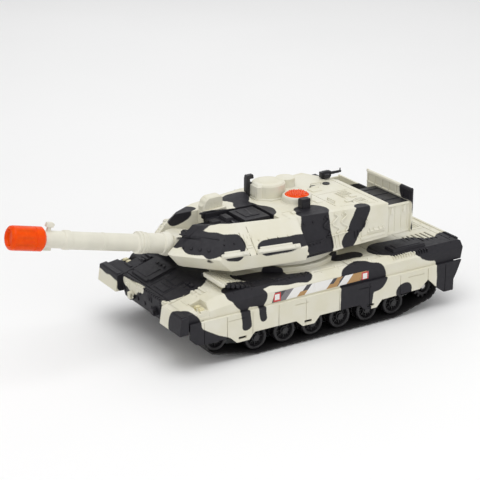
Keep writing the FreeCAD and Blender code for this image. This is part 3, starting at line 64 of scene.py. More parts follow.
MM = 0.001
JOINTS = {joint["name"]: joint for joint in frame["joints"]}
AXIS_X = JOINTS["turret_yaw"]["pos_m"][0]
SIDES = (("left", 1), ("right", -1))
TO_FRAME = Matrix.Translation((AXIS_X, 0, 0)) @ Matrix.Scale(MM, 4)
FROM_FRAME = TO_FRAME.inverted()
FLAT_ANGLE = math.radians(1)
EDGE_ANGLE = math.radians(28)
SHARP_ANGLE = math.radians(38)
HUG_REACH = 6.0         # how far a detail may be moved to meet the moulding
TINY = 1e-4             # points nearer than this are one
SKIN = 0.02             # a visual piece inside its CAD node
NUDGE = 0.01            # keeps a one-point stroke from having no length
DECK_HEIGHT = 54.0
ROOF_HEIGHT = 95.5
SPROCKET_TEETH = 12
TUBE_SIDES = 8
CAP_RIBS = 10
FLOOR_HALF = 6000.0


def sizes():
    """The user's sizes."""
    return bpy.context.scene.tank_sizes


def colours():
    """The user's colours."""
    return bpy.context.scene.tank_colours


def node_box(node):
    """A CAD node's lowest and highest corners, in millimetres about the turret axis."""
    low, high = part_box(node)
    return FROM_FRAME @ low, FROM_FRAME @ high


# ---------------------------------------------------------------- solids

def soften(bm, edges, amount, steps, clamp=True):
    """Round edges off."""
    if edges and amount > 0:
        bmesh.ops.bevel(bm, geom=edges, offset=amount, segments=steps, profile=0.5,
                        affect="EDGES", clamp_overlap=clamp)


def island(bm, build, round_off):
    """Run a builder on a fresh mesh, round its edges, and add it to bm."""
    part = bmesh.new()
    build(part)
    bmesh.ops.remove_doubles(part, verts=part.verts, dist=TINY)
    bmesh.ops.recalc_face_normals(part, faces=part.faces)
    sharp = [edge for edge in part.edges if edge.is_manifold and edge.calc_face_angle() > EDGE_ANGLE]
    soften(part, sharp, round_off, 1)
    mesh = bpy.data.meshes.new("part")
    part.to_mesh(mesh)
    part.free()
    bm.from_mesh(mesh)
    bpy.data.meshes.remove(mesh)


def block(bm, x, y, z, place=None, taper=0.0, round_off=0.25):
    """Closed box between pairs of limits, narrower at the top by taper all round."""
    def build(part):
        corners = []
        for level, inset in ((z[0], 0.0), (z[1], taper)):
            for px, py in ((x[0] + inset, y[0] + inset), (x[1] - inset, y[0] + inset),
                           (x[1] - inset, y[1] - inset), (x[0] + inset, y[1] - inset)):
                point = Vector((px, py, level))
                corners.append(part.verts.new(place @ point if place else point))
        part.faces.new(corners[3::-1])
        part.faces.new(corners[4:])
        for index in range(4):
            after = (index + 1) % 4
            part.faces.new((corners[index], corners[after], corners[4 + after], corners[4 + index]))
    island(bm, build, round_off)


def sheet_prism(bm, outline, start, end, axis="Z", place=None, round_off=0.25):
    """Outline pushed along an axis: (x, y) for Z, (x, z) for Y, (y, z) for X."""
    def point(pair, level):
        one, two = pair
        spot = Vector({"Z": (one, two, level), "Y": (one, level, two), "X": (level, one, two)}[axis])
        return place @ spot if place else spot

    def build(part):
        rings = [[part.verts.new(point(pair, level)) for pair in outline] for level in (start, end)]
        part.faces.new(rings[0])
        part.faces.new(rings[1])
        for index in range(len(outline)):
            after = (index + 1) % len(outline)
            part.faces.new((rings[0][index], rings[0][after], rings[1][after], rings[1][index]))
    island(bm, build, round_off)


def frame_of(origin, along, across):
    """Matrix whose X runs along, Y goes up the slope, and Z points out of the surface."""
    first = Vector(along).normalized()
    third = first.cross(Vector(across)).normalized()
    second = third.cross(first)
    turn = Matrix((first, second, third)).transposed().to_4x4()
    return Matrix.Translation(Vector(origin)) @ turn


def lathe(bm, profile, place, segments):
    """Closed profile of (along X, radius) turned about the X axis."""
    def build(part):
        rings = []
        for step in range(segments):
            turn = 2 * math.pi * step / segments
            ring = []
            for along, radius in profile:
                spot = Vector((along, radius * math.cos(turn), radius * math.sin(turn)))
                ring.append(part.verts.new(place @ spot if place else spot))
            rings.append(ring)
        for step in range(segments):
            one, two = rings[step], rings[(step + 1) % segments]
            for index in range(len(profile)):
                after = (index + 1) % len(profile)
                if profile[index][1] > 0 or profile[after][1] > 0:
                    part.faces.new((one[index], one[after], two[after], two[index]))
        bmesh.ops.remove_doubles(part, verts=part.verts, dist=TINY)
        bmesh.ops.dissolve_degenerate(part, edges=part.edges, dist=TINY / 10)
    island(bm, build, 0.0)


def tube(bm, points, radius, place=None):
    """Round bar along points, with closed ends."""
    def build(part):
        spots = [place @ Vector(point) if place else Vector(point) for point in points]
        rings = []
        side = None
        for index, spot in enumerate(spots):
            before = spots[max(index - 1, 0)]
            after = spots[min(index + 1, len(spots) - 1)]
            ahead = (after - before).normalized()
            if side is None:
                side = ahead.orthogonal().normalized()
            side = (side - ahead * side.dot(ahead)).normalized()
            other = ahead.cross(side)
            ring = []
            for step in range(TUBE_SIDES):
                turn = 2 * math.pi * step / TUBE_SIDES
                ring.append(part.verts.new(spot + (side * math.cos(turn) + other * math.sin(turn)) * radius))
            rings.append(ring)
        for one, two in zip(rings, rings[1:]):
            for step in range(TUBE_SIDES):
                after = (step + 1) % TUBE_SIDES
                part.faces.new((one[step], one[after], two[after], two[step]))
        part.faces.new(rings[0])
        part.faces.new(rings[-1])
    island(bm, build, 0.0)


def span(side, near, far):
    """Limits along Y between two distances from the middle plane, on one side (1 left, -1 right)."""
    return tuple(sorted((near * side, far * side)))


def mirrored(bm):
    """Add the mirror image on the other side of the middle plane."""
    extra = bm.copy()
    bmesh.ops.scale(extra, vec=(1, -1, 1), verts=extra.verts)
    bmesh.ops.reverse_faces(extra, faces=extra.faces)
    mesh = bpy.data.meshes.new("other_side")
    extra.to_mesh(mesh)
    extra.free()
    bm.from_mesh(mesh)
    bpy.data.meshes.remove(mesh)


def node_copy(*nodes):
    """CAD nodes' meshes as one clean mesh in millimetres: merged, with flat faces whole."""
    bm = bmesh.new()
    for node in nodes:
        bm.from_mesh(frame["nodes"][node].data)
    bmesh.ops.remove_doubles(bm, verts=bm.verts, dist=1e-6)
    bmesh.ops.transform(bm, matrix=FROM_FRAME, verts=bm.verts)
    bmesh.ops.dissolve_limit(bm, angle_limit=FLAT_ANGLE, verts=bm.verts, edges=bm.edges)
    return bm


def rounded_copy(*nodes, grooves=None):
    """A clean copy, cut by the grooves' solids, with its moulded edges rounded."""
    bm = node_copy(*nodes)
    if grooves:
        bm = carved(bm, grooves)
    sharp = [edge for edge in bm.edges if edge.is_manifold and edge.calc_face_angle() > EDGE_ANGLE
             and not any(face.material_index for face in edge.link_faces)]
    soften(bm, sharp, sizes().edge_round / MM, 2, clamp=False)
    for face in bm.faces:
        face.material_index = 0
    return bm


def hug(bm, first, node_name, place):
    """Shift the vertices made since the first along a face's normal, onto the moulding's own surface."""
    moulding = node_copy(node_name)
    surface = BVHTree.FromBMesh(moulding)
    moulding.free()
    outward = place.to_3x3() @ Vector((0, 0, 1))
    flat = place.inverted()
    bm.verts.ensure_lookup_table()
    for vertex in bm.verts[first:]:
        spot = flat @ vertex.co
        found = surface.ray_cast(place @ Vector((spot.x, spot.y, HUG_REACH)), -outward, 2 * HUG_REACH)
        if found[0]:
            vertex.co += outward * (flat @ found[0]).z


def mesh_object(name, bm):
    """Linked object from a mesh in millimetres about the turret axis."""
    bmesh.ops.transform(bm, matrix=TO_FRAME, verts=bm.verts)
    mesh = bpy.data.meshes.new(name)
    bm.to_mesh(mesh)
    bm.free()
    thing = bpy.data.objects.new(name, mesh)
    bpy.context.scene.collection.objects.link(thing)
    return thing


def evaluated_mesh(thing, name):
    """What an object's modifiers make, as a plain mesh."""
    graph = bpy.context.evaluated_depsgraph_get()
    made = bpy.data.meshes.new_from_object(thing.evaluated_get(graph))
    made.name = name
    return made


def discard(thing):
    """Remove a helper object and its mesh."""
    mesh = thing.data
    bpy.data.objects.remove(thing)
    bpy.data.meshes.remove(mesh)


def carved(bm, grooves):
    """Cut the grooves' solids out of a mesh, in millimetres; the cut faces have material index 1."""
    thing = mesh_object("carved", bm)
    tool = mesh_object("grooves", grooves)
    marks = [bpy.data.materials.new(mark) for mark in ("kept", "cut")]
    for owner, mark in zip((thing, tool), marks):
        owner.data.materials.append(mark)
    change = thing.modifiers.new("carve", "BOOLEAN")
    change.operation = "DIFFERENCE"
    change.solver = "EXACT"
    change.use_self = True
    change.material_mode = "TRANSFER"
    change.object = tool
    made = evaluated_mesh(thing, "carved")
    discard(thing)
    discard(tool)
    result = bmesh.new()
    result.from_mesh(made)
    bpy.data.meshes.remove(made)
    for mark in marks:
        bpy.data.materials.remove(mark)
    bmesh.ops.transform(result, matrix=FROM_FRAME, verts=result.verts)
    bmesh.ops.dissolve_limit(result, angle_limit=FLAT_ANGLE, verts=result.verts, edges=result.edges,
                             delimit={"MATERIAL"})
    return result


def piece(name, bm, body, finish, replaces=()):
    """Turn a mesh in millimetres into a finished piece that rides on a body."""
    thing = mesh_object("raw_" + name, bm)
    thing.data.shade_smooth()
    thing.data.set_sharp_from_angle(angle=SHARP_ANGLE)
    even = thing.modifiers.new("even", "WEIGHTED_NORMAL")
    even.keep_sharp = True
    made = evaluated_mesh(thing, name)
    discard(thing)
    made.materials.clear()
    made.materials.append(finish)
    done = bpy.data.objects.new(name, made)
    bpy.context.scene.collection.objects.link(done)
    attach(done, body)
    if replaces:
        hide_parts(*replaces)


# ---------------------------------------------------------------- node trees

def node(tree, kind, inputs=(), **settings):
    """Add a node; inputs pairs a socket's name or number with a socket or a value."""
    made = tree.nodes.new(kind)
    for key, value in settings.items():
        setattr(made, key, value)
    for key, value in dict(inputs).items():
        if isinstance(value, bpy.types.NodeSocket):
            tree.links.new(value, made.inputs[key])
        else:
            made.inputs[key].default_value = value
    return made


def grow_tree(name, fields):
    """Empty geometry tree with the given inputs beside Geometry and Finish."""
    tree = bpy.data.node_groups.new(name, "GeometryNodeTree")
    face = tree.interface
    face.new_socket("Geometry", in_out="INPUT", socket_type="NodeSocketGeometry")
    for field, kind in fields:
        face.new_socket(field, in_out="INPUT", socket_type="NodeSocket" + kind)
    face.new_socket("Finish", in_out="INPUT", socket_type="NodeSocketMaterial")
    face.new_socket("Geometry", in_out="OUTPUT", socket_type="NodeSocketGeometry")
    return tree, node(tree, "NodeGroupInput").outputs


def close_tree(tree, given, instances):
    """End a tree: real geometry with its material."""
    real = node(tree, "GeometryNodeRealizeInstances", {0: instances})
    painted = node(tree, "GeometryNodeSetMaterial", {
        "Geometry": real.outputs[0], "Material": given["Finish"]})
    node(tree, "NodeGroupOutput", {0: painted.outputs[0]})


def stud_tree():
    """Short round studs standing on points, along each point's facing."""
    tree, given = grow_tree("studs", (("Radius", "Float"), ("Height", "Float"), ("Sides", "Int")))
    stud = node(tree, "GeometryNodeMeshCone", {
        "Vertices": given["Sides"], "Radius Bottom": given["Radius"], "Depth": given["Height"]})
    small = node(tree, "ShaderNodeMath", {0: given["Radius"], 1: 0.7}, operation="MULTIPLY")
    tree.links.new(small.outputs[0], stud.inputs["Radius Top"])
    facing = node(tree, "GeometryNodeInputNamedAttribute", {"Name": "facing"}, data_type="FLOAT_VECTOR")
    turn = node(tree, "FunctionNodeAlignRotationToVector", {"Vector": facing.outputs[0]}, axis="Z")
    spread = node(tree, "GeometryNodeInstanceOnPoints", {
        "Points": given["Geometry"], "Instance": stud.outputs[0], "Rotation": turn.outputs[0]})
    close_tree(tree, given, spread.outputs[0])
    return tree


def bar_tree():
    """A row of equal bars, a step apart, starting at each input point."""
    tree, given = grow_tree("bars", (("Size", "Vector"), ("Step", "Vector"), ("Count", "Int")))
    bar = node(tree, "GeometryNodeMeshCube", {"Size": given["Size"]})
    row = node(tree, "GeometryNodeMeshLine", {"Count": given["Count"], "Offset": given["Step"]})
    bars = node(tree, "GeometryNodeInstanceOnPoints", {"Points": row.outputs[0], "Instance": bar.outputs[0]})
    facing = node(tree, "GeometryNodeInputNamedAttribute", {"Name": "turn"}, data_type="FLOAT_VECTOR")
    rows = node(tree, "GeometryNodeInstanceOnPoints", {
        "Points": given["Geometry"], "Instance": bars.outputs[0], "Rotation": facing.outputs[0]})
    close_tree(tree, given, rows.outputs[0])
    return tree


def link_tree():
    """Track links along a closed path: plate, lug bar, and two end connectors each."""
    fields = (("Count", "Int"), ("Pitch", "Float"), ("Width", "Float"), ("Depth", "Float"))
    tree, given = grow_tree("links", fields)

    def scaled(source, factor):
        return node(tree, "ShaderNodeMath", {0: source, 1: factor}, operation="MULTIPLY").outputs[0]

    def brick(length, width, height, across, rise):
        size = node(tree, "ShaderNodeCombineXYZ", {0: length, 1: width, 2: height})
        spot = node(tree, "ShaderNodeCombineXYZ", {0: 0.0, 1: across, 2: rise})
        cube = node(tree, "GeometryNodeMeshCube", {"Size": size.outputs[0]})
        return node(tree, "GeometryNodeTransform", {
            "Geometry": cube.outputs[0], "Translation": spot.outputs[0]}).outputs[0]

    pitch, width, depth = given["Pitch"], given["Width"], given["Depth"]
    parts = [
        brick(scaled(pitch, 0.78), scaled(width, 0.97), scaled(depth, 0.34), 0.0, scaled(depth, 0.22)),
        brick(scaled(pitch, 0.3), scaled(width, 0.86), scaled(depth, 0.3), 0.0, scaled(depth, 0.35)),
    ] + [
        brick(scaled(pitch, 0.5), scaled(width, 0.14), scaled(depth, 0.42), scaled(width, end),
              scaled(depth, 0.27)) for end in (0.43, -0.43)
    ]
    link = node(tree, "GeometryNodeJoinGeometry")
    for part in reversed(parts):
        tree.links.new(part, link.inputs[0])
    curve = node(tree, "GeometryNodeMeshToCurve", {"Mesh": given["Geometry"]})
    even = node(tree, "GeometryNodeResampleCurve", {"Curve": curve.outputs[0], "Count": given["Count"]})
    ahead = node(tree, "GeometryNodeInputTangent")
    turn = node(tree, "FunctionNodeAlignRotationToVector", {"Vector": ahead.outputs[0]},
                axis="X", pivot_axis="Y")
    laid = node(tree, "GeometryNodeInstanceOnPoints", {
        "Points": even.outputs[0], "Instance": link.outputs[0], "Rotation": turn.outputs[0]})
    close_tree(tree, given, laid.outputs[0])
    return tree


TREES = {"studs": stud_tree, "bars": bar_tree, "links": link_tree}


def grown(kind, points, finish, inputs, vectors=None, edges=()):
    """Run a geometry tree on points in millimetres and give its mesh, in millimetres."""
    tree = bpy.data.node_groups.get(kind) or TREES[kind]()
    mesh = bpy.data.meshes.new("seed")
    mesh.from_pydata([TO_FRAME @ Vector(point) for point in points], edges, [])
    for name, values in (vectors or {}).items():
        layer = mesh.attributes.new(name, "FLOAT_VECTOR", "POINT")
        for index, value in enumerate(values):
            layer.data[index].vector = value
    seed = bpy.data.objects.new("seed", mesh)
    bpy.context.scene.collection.objects.link(seed)
    grow = seed.modifiers.new("grow", "NODES")
    grow.node_group = tree
    sockets = {item.name: item.identifier for item in tree.interface.items_tree if item.in_out == "INPUT"}
    for name, value in dict(inputs, Finish=finish).items():
        grow[sockets[name]] = value
    made = evaluated_mesh(seed, kind)
    discard(seed)
    bm = bmesh.new()
    bm.from_mesh(made)
    bpy.data.meshes.remove(made)
    bmesh.ops.transform(bm, matrix=FROM_FRAME, verts=bm.verts)
    return bm


def merge(bm, extra, round_off):
    """Add one mesh to another, its edges rounded first."""
    sharp = [edge for edge in extra.edges if edge.is_manifold and edge.calc_face_angle() > EDGE_ANGLE]
    soften(extra, sharp, round_off, 1)
    mesh = bpy.data.meshes.new("extra")
    extra.to_mesh(mesh)
    extra.free()
    bm.from_mesh(mesh)
    bpy.data.meshes.remove(mesh)


def studs(bm, places, finish, radius, height, sides=8):
    """Add studs at (place, facing) pairs."""
    points = [place for place, _ in places]
    facings = [facing for _, facing in places]
    merge(bm, grown("studs", points, finish, {"Radius": radius * MM, "Height": height * MM, "Sides": sides},
                    {"facing": facings}), 0.0)


def bars(bm, start, size, step, count, finish, turn=(0, 0, 0), round_off=0.2):
    """Add a row of bars; start is the first bar's middle, turn an Euler angle in radians."""
    inputs = {"Size": tuple(value * MM for value in size), "Step": tuple(value * MM for value in step),
              "Count": count}
    merge(bm, grown("bars", [start], finish, inputs, {"turn": [turn]}), round_off)


def bars_on(bm, place, start, size, step, count, finish, turn=(0, 0, 0), round_off=0.2):
    """A row of bars on a face, a step apart along the face's X."""
    along = place.to_3x3() @ Vector((step, 0, 0))
    bars(bm, place @ Vector(start), size, along, count, finish, turn, round_off)


def stud_on(place, s, t, rise):
    """A stud's place and facing on a face, s along it and t up it."""
    return place @ Vector((s, t, rise)), place.to_3x3() @ Vector((0, 0, 1))


# ---------------------------------------------------------------- finishes

def value_of(tree, operation, first, second=0.0, third=0.0):
    """Math node."""
    return node(tree, "ShaderNodeMath", {0: first, 1: second, 2: third}, operation=operation).outputs[0]


def vector_of(tree, operation, first, second=(0, 0, 0), third=(0, 0, 0)):
    """Vector Math node with a vector result."""
    inputs = {0: first, 1: second}
    if operation == "MULTIPLY_ADD":
        inputs[2] = third
    return node(tree, "ShaderNodeVectorMath", inputs, operation=operation).outputs[0]


def stroke_group():
    """Distance in millimetres from a painted stroke: a round-ended line of some radius."""
    found = bpy.data.node_groups.get("paint_stroke")
    if found:
        return found
    tree = bpy.data.node_groups.new("paint_stroke", "ShaderNodeTree")
    for name, kind in (("Position", "Vector"), ("Start", "Vector"), ("End", "Vector"), ("Radius", "Float")):
        tree.interface.new_socket(name, in_out="INPUT", socket_type="NodeSocket" + kind)
    tree.interface.new_socket("Distance", in_out="OUTPUT", socket_type="NodeSocketFloat")
    given = node(tree, "NodeGroupInput").outputs
    from_start = vector_of(tree, "SUBTRACT", given["Position"], given["Start"])
    along = vector_of(tree, "SUBTRACT", given["End"], given["Start"])
    reach, length = (
        node(tree, "ShaderNodeVectorMath", {0: line, 1: along}, operation="DOT_PRODUCT").outputs["Value"]
        for line in (from_start, along))
    share = node(tree, "ShaderNodeMath", {0: reach, 1: length}, operation="DIVIDE", use_clamp=True).outputs[0]
    nearest = node(tree, "ShaderNodeVectorMath", {0: along, "Scale": share}, operation="SCALE").outputs[0]
    gap = vector_of(tree, "SUBTRACT", from_start, nearest)
    away = node(tree, "ShaderNodeVectorMath", {0: gap}, operation="LENGTH").outputs["Value"]
    node(tree, "NodeGroupOutput", {0: value_of(tree, "SUBTRACT", away, given["Radius"])})
    return tree


def strokes_distance(tree, position, strokes, blend):
    """Smooth union of strokes, each (start, end, radius)."""
    total = None
    for start, end, radius in strokes:
        stroke = node(tree, "ShaderNodeGroup", node_tree=stroke_group())
        tree.links.new(position, stroke.inputs["Position"])
        stroke.inputs["Start"].default_value = start
        stroke.inputs["End"].default_value = (end[0] + NUDGE, end[1], end[2])
        stroke.inputs["Radius"].default_value = radius
        if total is None:
            total = stroke.outputs[0]
        else:
            total = value_of(tree, "SMOOTH_MIN", total, stroke.outputs[0], blend)
    return total


def new_finish(name):
    """Material with its tree, shader, and the position in millimetres about the turret axis."""
    made = bpy.data.materials.new(name)
    made.use_nodes = True
    tree = made.node_tree
    shader = tree.nodes["Principled BSDF"]
    place = node(tree, "ShaderNodeTexCoord").outputs["Object"]
    scale = 1 / MM
    spot = vector_of(tree, "MULTIPLY_ADD", place, (scale, scale, scale), (-AXIS_X * scale, 0, 0))
    return made, tree, shader, spot


def noise(tree, spot, scale, detail=2.0):
    """Noise over a position in millimetres."""
    return node(tree, "ShaderNodeTexNoise", {"Vector": spot, "Scale": scale, "Detail": detail}).outputs["Fac"]


def spread_of(tree, value, low, high, start=0.3, end=0.7):
    """Map a noise value to a range."""
    return node(tree, "ShaderNodeMapRange", {
        "Value": value, "From Min": start, "From Max": end, "To Min": low, "To Max": high}).outputs[0]


def grain(tree, shader, spot, scale, depth, rough):
    """Fine moulded surface: bump of some depth in millimetres and uneven gloss."""
    fine = noise(tree, spot, scale, 3.0)
    broad = noise(tree, spot, scale * 0.06, 2.0)
    bump = node(tree, "ShaderNodeBump", {"Height": fine, "Strength": 0.6, "Distance": depth * MM})
    tree.links.new(bump.outputs[0], shader.inputs["Normal"])
    tree.links.new(spread_of(tree, broad, rough - 0.07, rough + 0.07), shader.inputs["Roughness"])


def tinted(tree, shader, spot, colour, change=0.12, scale=0.08):
    """Base colour that drifts a little over the surface."""
    shade = [channel * (1 - change) for channel in colour[:3]] + [1]
    cloud = spread_of(tree, noise(tree, spot, scale, 3.0), 0.0, 1.0, 0.35, 0.65)
    mixed = node(tree, "ShaderNodeMix", {"Factor": cloud, "A": (*colour[:3], 1), "B": shade},
                 data_type="RGBA")
    tree.links.new(mixed.outputs["Result"], shader.inputs["Base Color"])


def plain_finish(name, colour, rough, scale=2.5, depth=0.02, metal=0.0, change=0.12):
    """Moulded or metal finish of one colour."""
    made, tree, shader, spot = new_finish(name)
    tinted(tree, shader, spot, colour, change)
    shader.inputs["Metallic"].default_value = metal
    grain(tree, shader, spot, scale, depth, rough)
    return made


def mixed_colour(tree, factor, first, second):
    """RGBA mix whose inputs are chosen by type, not by name."""
    mix = node(tree, "ShaderNodeMix", data_type="RGBA")
    for socket, value in ((mix.inputs["Factor"], factor), (mix.inputs[6], first), (mix.inputs[7], second)):
        if isinstance(value, bpy.types.NodeSocket):
            tree.links.new(value, socket)
        else:
            socket.default_value = value
    return mix.outputs[2]


def camouflage(name, dark, bare):
    """Cream moulding with charcoal patches: dark strokes, less the bare ones. On the hull the dark strokes
    also hold a painted shadow on the deck under the turret's rear.
    """
    made, tree, shader, spot = new_finish(name)
    drift = node(tree, "ShaderNodeTexNoise", {"Vector": spot, "Scale": 0.055, "Detail": 1.0}).outputs["Color"]
    moved = vector_of(tree, "MULTIPLY_ADD", drift, (5.0, 5.0, 5.0), (-2.5, -2.5, -2.5))
    here = vector_of(tree, "ADD", spot, moved)
    reach = strokes_distance(tree, here, dark, 3.0)
    if bare:
        left = value_of(tree, "MULTIPLY", strokes_distance(tree, here, bare, 3.0), -1.0)
        reach = value_of(tree, "SMOOTH_MAX", reach, left, 2.0)
    fuzz = spread_of(tree, noise(tree, spot, 1.6, 2.0), -0.15, 0.15)
    edge = value_of(tree, "ADD", reach, fuzz)
    soft = sizes().paint_softness / MM
    paint = node(tree, "ShaderNodeMapRange", {
        "Value": edge, "From Min": -soft, "From Max": soft, "To Min": 1.0, "To Max": 0.0},
        interpolation_type="SMOOTHSTEP").outputs[0]
    cream = colours().cream
    char = colours().charcoal
    cloud = spread_of(tree, noise(tree, spot, 0.05, 3.0), 0.0, 1.0, 0.35, 0.65)
    plastic = mixed_colour(tree, cloud, (*cream, 1), (cream[0] * 0.95, cream[1] * 0.94, cream[2] * 0.88, 1))
    mist = spread_of(tree, noise(tree, spot, 0.35, 4.0), 0.0, 1.0, 0.3, 0.75)
    coat = mixed_colour(tree, mist, (*char, 1), (char[0] * 1.28, char[1] * 1.27, char[2] * 1.25, 1))
    tree.links.new(mixed_colour(tree, paint, plastic, coat), shader.inputs["Base Color"])
    fine = noise(tree, spot, 2.2, 3.0)
    bump = node(tree, "ShaderNodeBump", {"Height": fine, "Strength": 0.5, "Distance": 0.02 * MM})
    tree.links.new(bump.outputs[0], shader.inputs["Normal"])
    gloss = spread_of(tree, noise(tree, spot, 0.3, 2.0), -0.05, 0.05)
    dull = node(tree, "ShaderNodeMapRange", {"Value": paint, "To Min": 0.46, "To Max": 0.56}).outputs[0]
    tree.links.new(value_of(tree, "ADD", gloss, dull), shader.inputs["Roughness"])
    shader.inputs["Specular IOR Level"].default_value = 0.3
    return made


TURRET_DARK = (
    ((91, 25, 86), (64, 41, 83), 9.5), ((82, 36, 78), (66, 46, 78), 6), ((99, 15, 86), (84, 16, 92), 6),
    ((76, 8, 91), (26, 14, 92), 15), ((28, -4, 95), (24, 14, 95), 9), ((24, -16, 98), (32, -18, 98), 7),
    ((86, -13, 92), (70, -20, 95), 6), ((-10, 35, 96), (-5, 52, 66), 14),
    ((6, 52, 79), (41, 50, 80), 6.5), ((-51, 47, 94), (-45, 50, 82), 6.2),
    ((-45, 50, 82), (-33, 51, 69), 5.8), ((-97, 44, 100), (-97, 52, 100), 8),
    ((-97, 55, 70), (-97, 55, 102), 3.5), ((50, -42, 82), (16, -54, 84), 8),
    ((-26, -44, 96), (-34, -52, 68), 11), ((-60, -50, 78), (-66, -50, 90), 8),
    ((-97, -14, 82), (-97, -34, 72), 9), ((-97, 12, 74), (-97, 24, 80), 8),
    ((90, -30, 70), (76, -42, 74), 6),
)
TURRET_BARE = (
    ((66, 31, 98), (22, 44, 98), 8.5), ((60, -10, 101), (50, -10, 101), 6),
)
# Dark hull strokes: charcoal camouflage patches, plus one painted shadow on the deck under the turret's rear.
HULL_DARK_AND_SHADOW = (
    ((101, 6, 50), (98, -62, 50), 31), ((121, 8, 36), (121, 28, 34), 9.5),
    ((75, 57, 53), (50, 53, 54), 8.5), ((50, 50, 54), (30, 46, 54), 7.5),
    ((50, 53, 54), (12, 58, 53), 7), ((60, 38, 54), (30, 42, 54), 6), ((72, 65, 48), (55, 65, 47), 7),
    ((70, 67, 42), (70, 67, 28), 4.3), ((55, 67, 42), (54.5, 67, 32), 3.5),
    ((124, 62, 38), (120, 62, 34), 13.5), ((114, 67, 24), (92, 67, 12), 11.5),
    ((-36, 64, 50), (-52, 64, 44), 9), ((-52, 66, 40), (-40, 66, 40), 10),
    ((-33, 67, 40), (-33, 67, 20), 16), ((-80, 67, 24), (-80, 67, 23), 7.5),
    ((-74, 46, 54), (-104, 47, 54), 14), ((-104, 54, 53), (-137, 57, 49), 13),
    # painted shadow: the stroke from (-30, 42) to (-48, 43) on the deck is dark paint standing in for the
    # shade under the turret's rear
    ((-30, 42, 54), (-48, 43, 54), 6), ((-127, 67, 40), (-127, 67, 18), 14),
    ((-136, 48, 50), (-140, 60, 44), 10), ((-20, -60, 54), (20, -64, 46), 9),
    ((8, -67, 40), (14, -67, 24), 9), ((-88, -66, 46), (-112, -66, 30), 12),
    ((58, -67, 34), (66, -67, 24), 8), ((-141, -20, 50), (-139, -44, 42), 9),
    ((-112, -30, 54), (-126, -8, 54), 9), ((-60, -58, 54), (-48, -60, 54), 7),
)
HULL_BARE = (
    ((127, -24, 37), (127, -10, 36), 6.5), ((134, -70, 38), (134, -36, 38), 9),
    ((121, -30, 42), (121, -4, 44), 3.5), ((121, 42, 46), (121, 44, 34), 4),
)


def finish(name):
    """A finish, made the first time that it is asked for."""
    found = bpy.data.materials.get(name)
    if found:
        return found
    tones = colours()
    makers = {
        "turret_camouflage": lambda: camouflage(name, TURRET_DARK, TURRET_BARE),
        "hull_camouflage_and_shadow": lambda: camouflage(name, HULL_DARK_AND_SHADOW, HULL_BARE),
        "cream_plastic": lambda: plain_finish(name, tones.cream, 0.45, change=0.06),
        "lamp_cream": lambda: plain_finish(name, (0.7, 0.64, 0.4), 0.35),
        "dark_moulding": lambda: plain_finish(name, tones.charcoal, 0.5, change=0.25),
        "black_plastic": lambda: plain_finish(name, tones.black, 0.42, change=0.3),
        "track_rubber": lambda: plain_finish(name, tones.rubber, 0.72, 3.5, 0.05, change=0.35),
        "steel": lambda: plain_finish(name, (0.55, 0.55, 0.57), 0.3, 6.0, 0.01, 1.0),
        "white_nylon": lambda: plain_finish(name, (0.72, 0.71, 0.66), 0.4),
        "grey_plastic": lambda: plain_finish(name, (0.2, 0.21, 0.22), 0.5),
        "board_green": lambda: plain_finish(name, (0.02, 0.16, 0.06), 0.35, change=0.3),
        "battery_film": lambda: plain_finish(name, (0.05, 0.12, 0.42), 0.3, 1.2, 0.03),
        "orange_clear": orange_clear,
        "lamp_epoxy": lamp_epoxy,
        "sticker_print": sticker_print,
        "pale_floor": pale_floor,
    }
    return makers[name]()


def orange_clear():
    """Translucent orange moulding that glows where light passes through its rim."""
    made, tree, shader, spot = new_finish("orange_clear")
    orange = colours().orange
    cloud = spread_of(tree, noise(tree, spot, 0.25, 2.0), 0.0, 1.0, 0.3, 0.7)
    deep = (orange[0] * 0.93, orange[1] * 0.7, orange[2] * 0.7, 1)
    tree.links.new(mixed_colour(tree, cloud, (*orange, 1), deep), shader.inputs["Base Color"])
    grain(tree, shader, spot, 1.2, 0.03, 0.24)
    shader.inputs["Subsurface Weight"].default_value = 0.15
    shader.inputs["Subsurface Radius"].default_value = (1.0, 0.25, 0.05)
    shader.inputs["Subsurface Scale"].default_value = 3 * MM
    shader.inputs["Specular IOR Level"].default_value = 0.12
    return made


def lamp_epoxy():
    """Water-clear epoxy of a lamp."""
    made, tree, shader, spot = new_finish("lamp_epoxy")
    tinted(tree, shader, spot, (0.9, 0.92, 0.95), 0.08)
    grain(tree, shader, spot, 1.5, 0.01, 0.16)
    shader.inputs["Transmission Weight"].default_value = 0.85
    return made


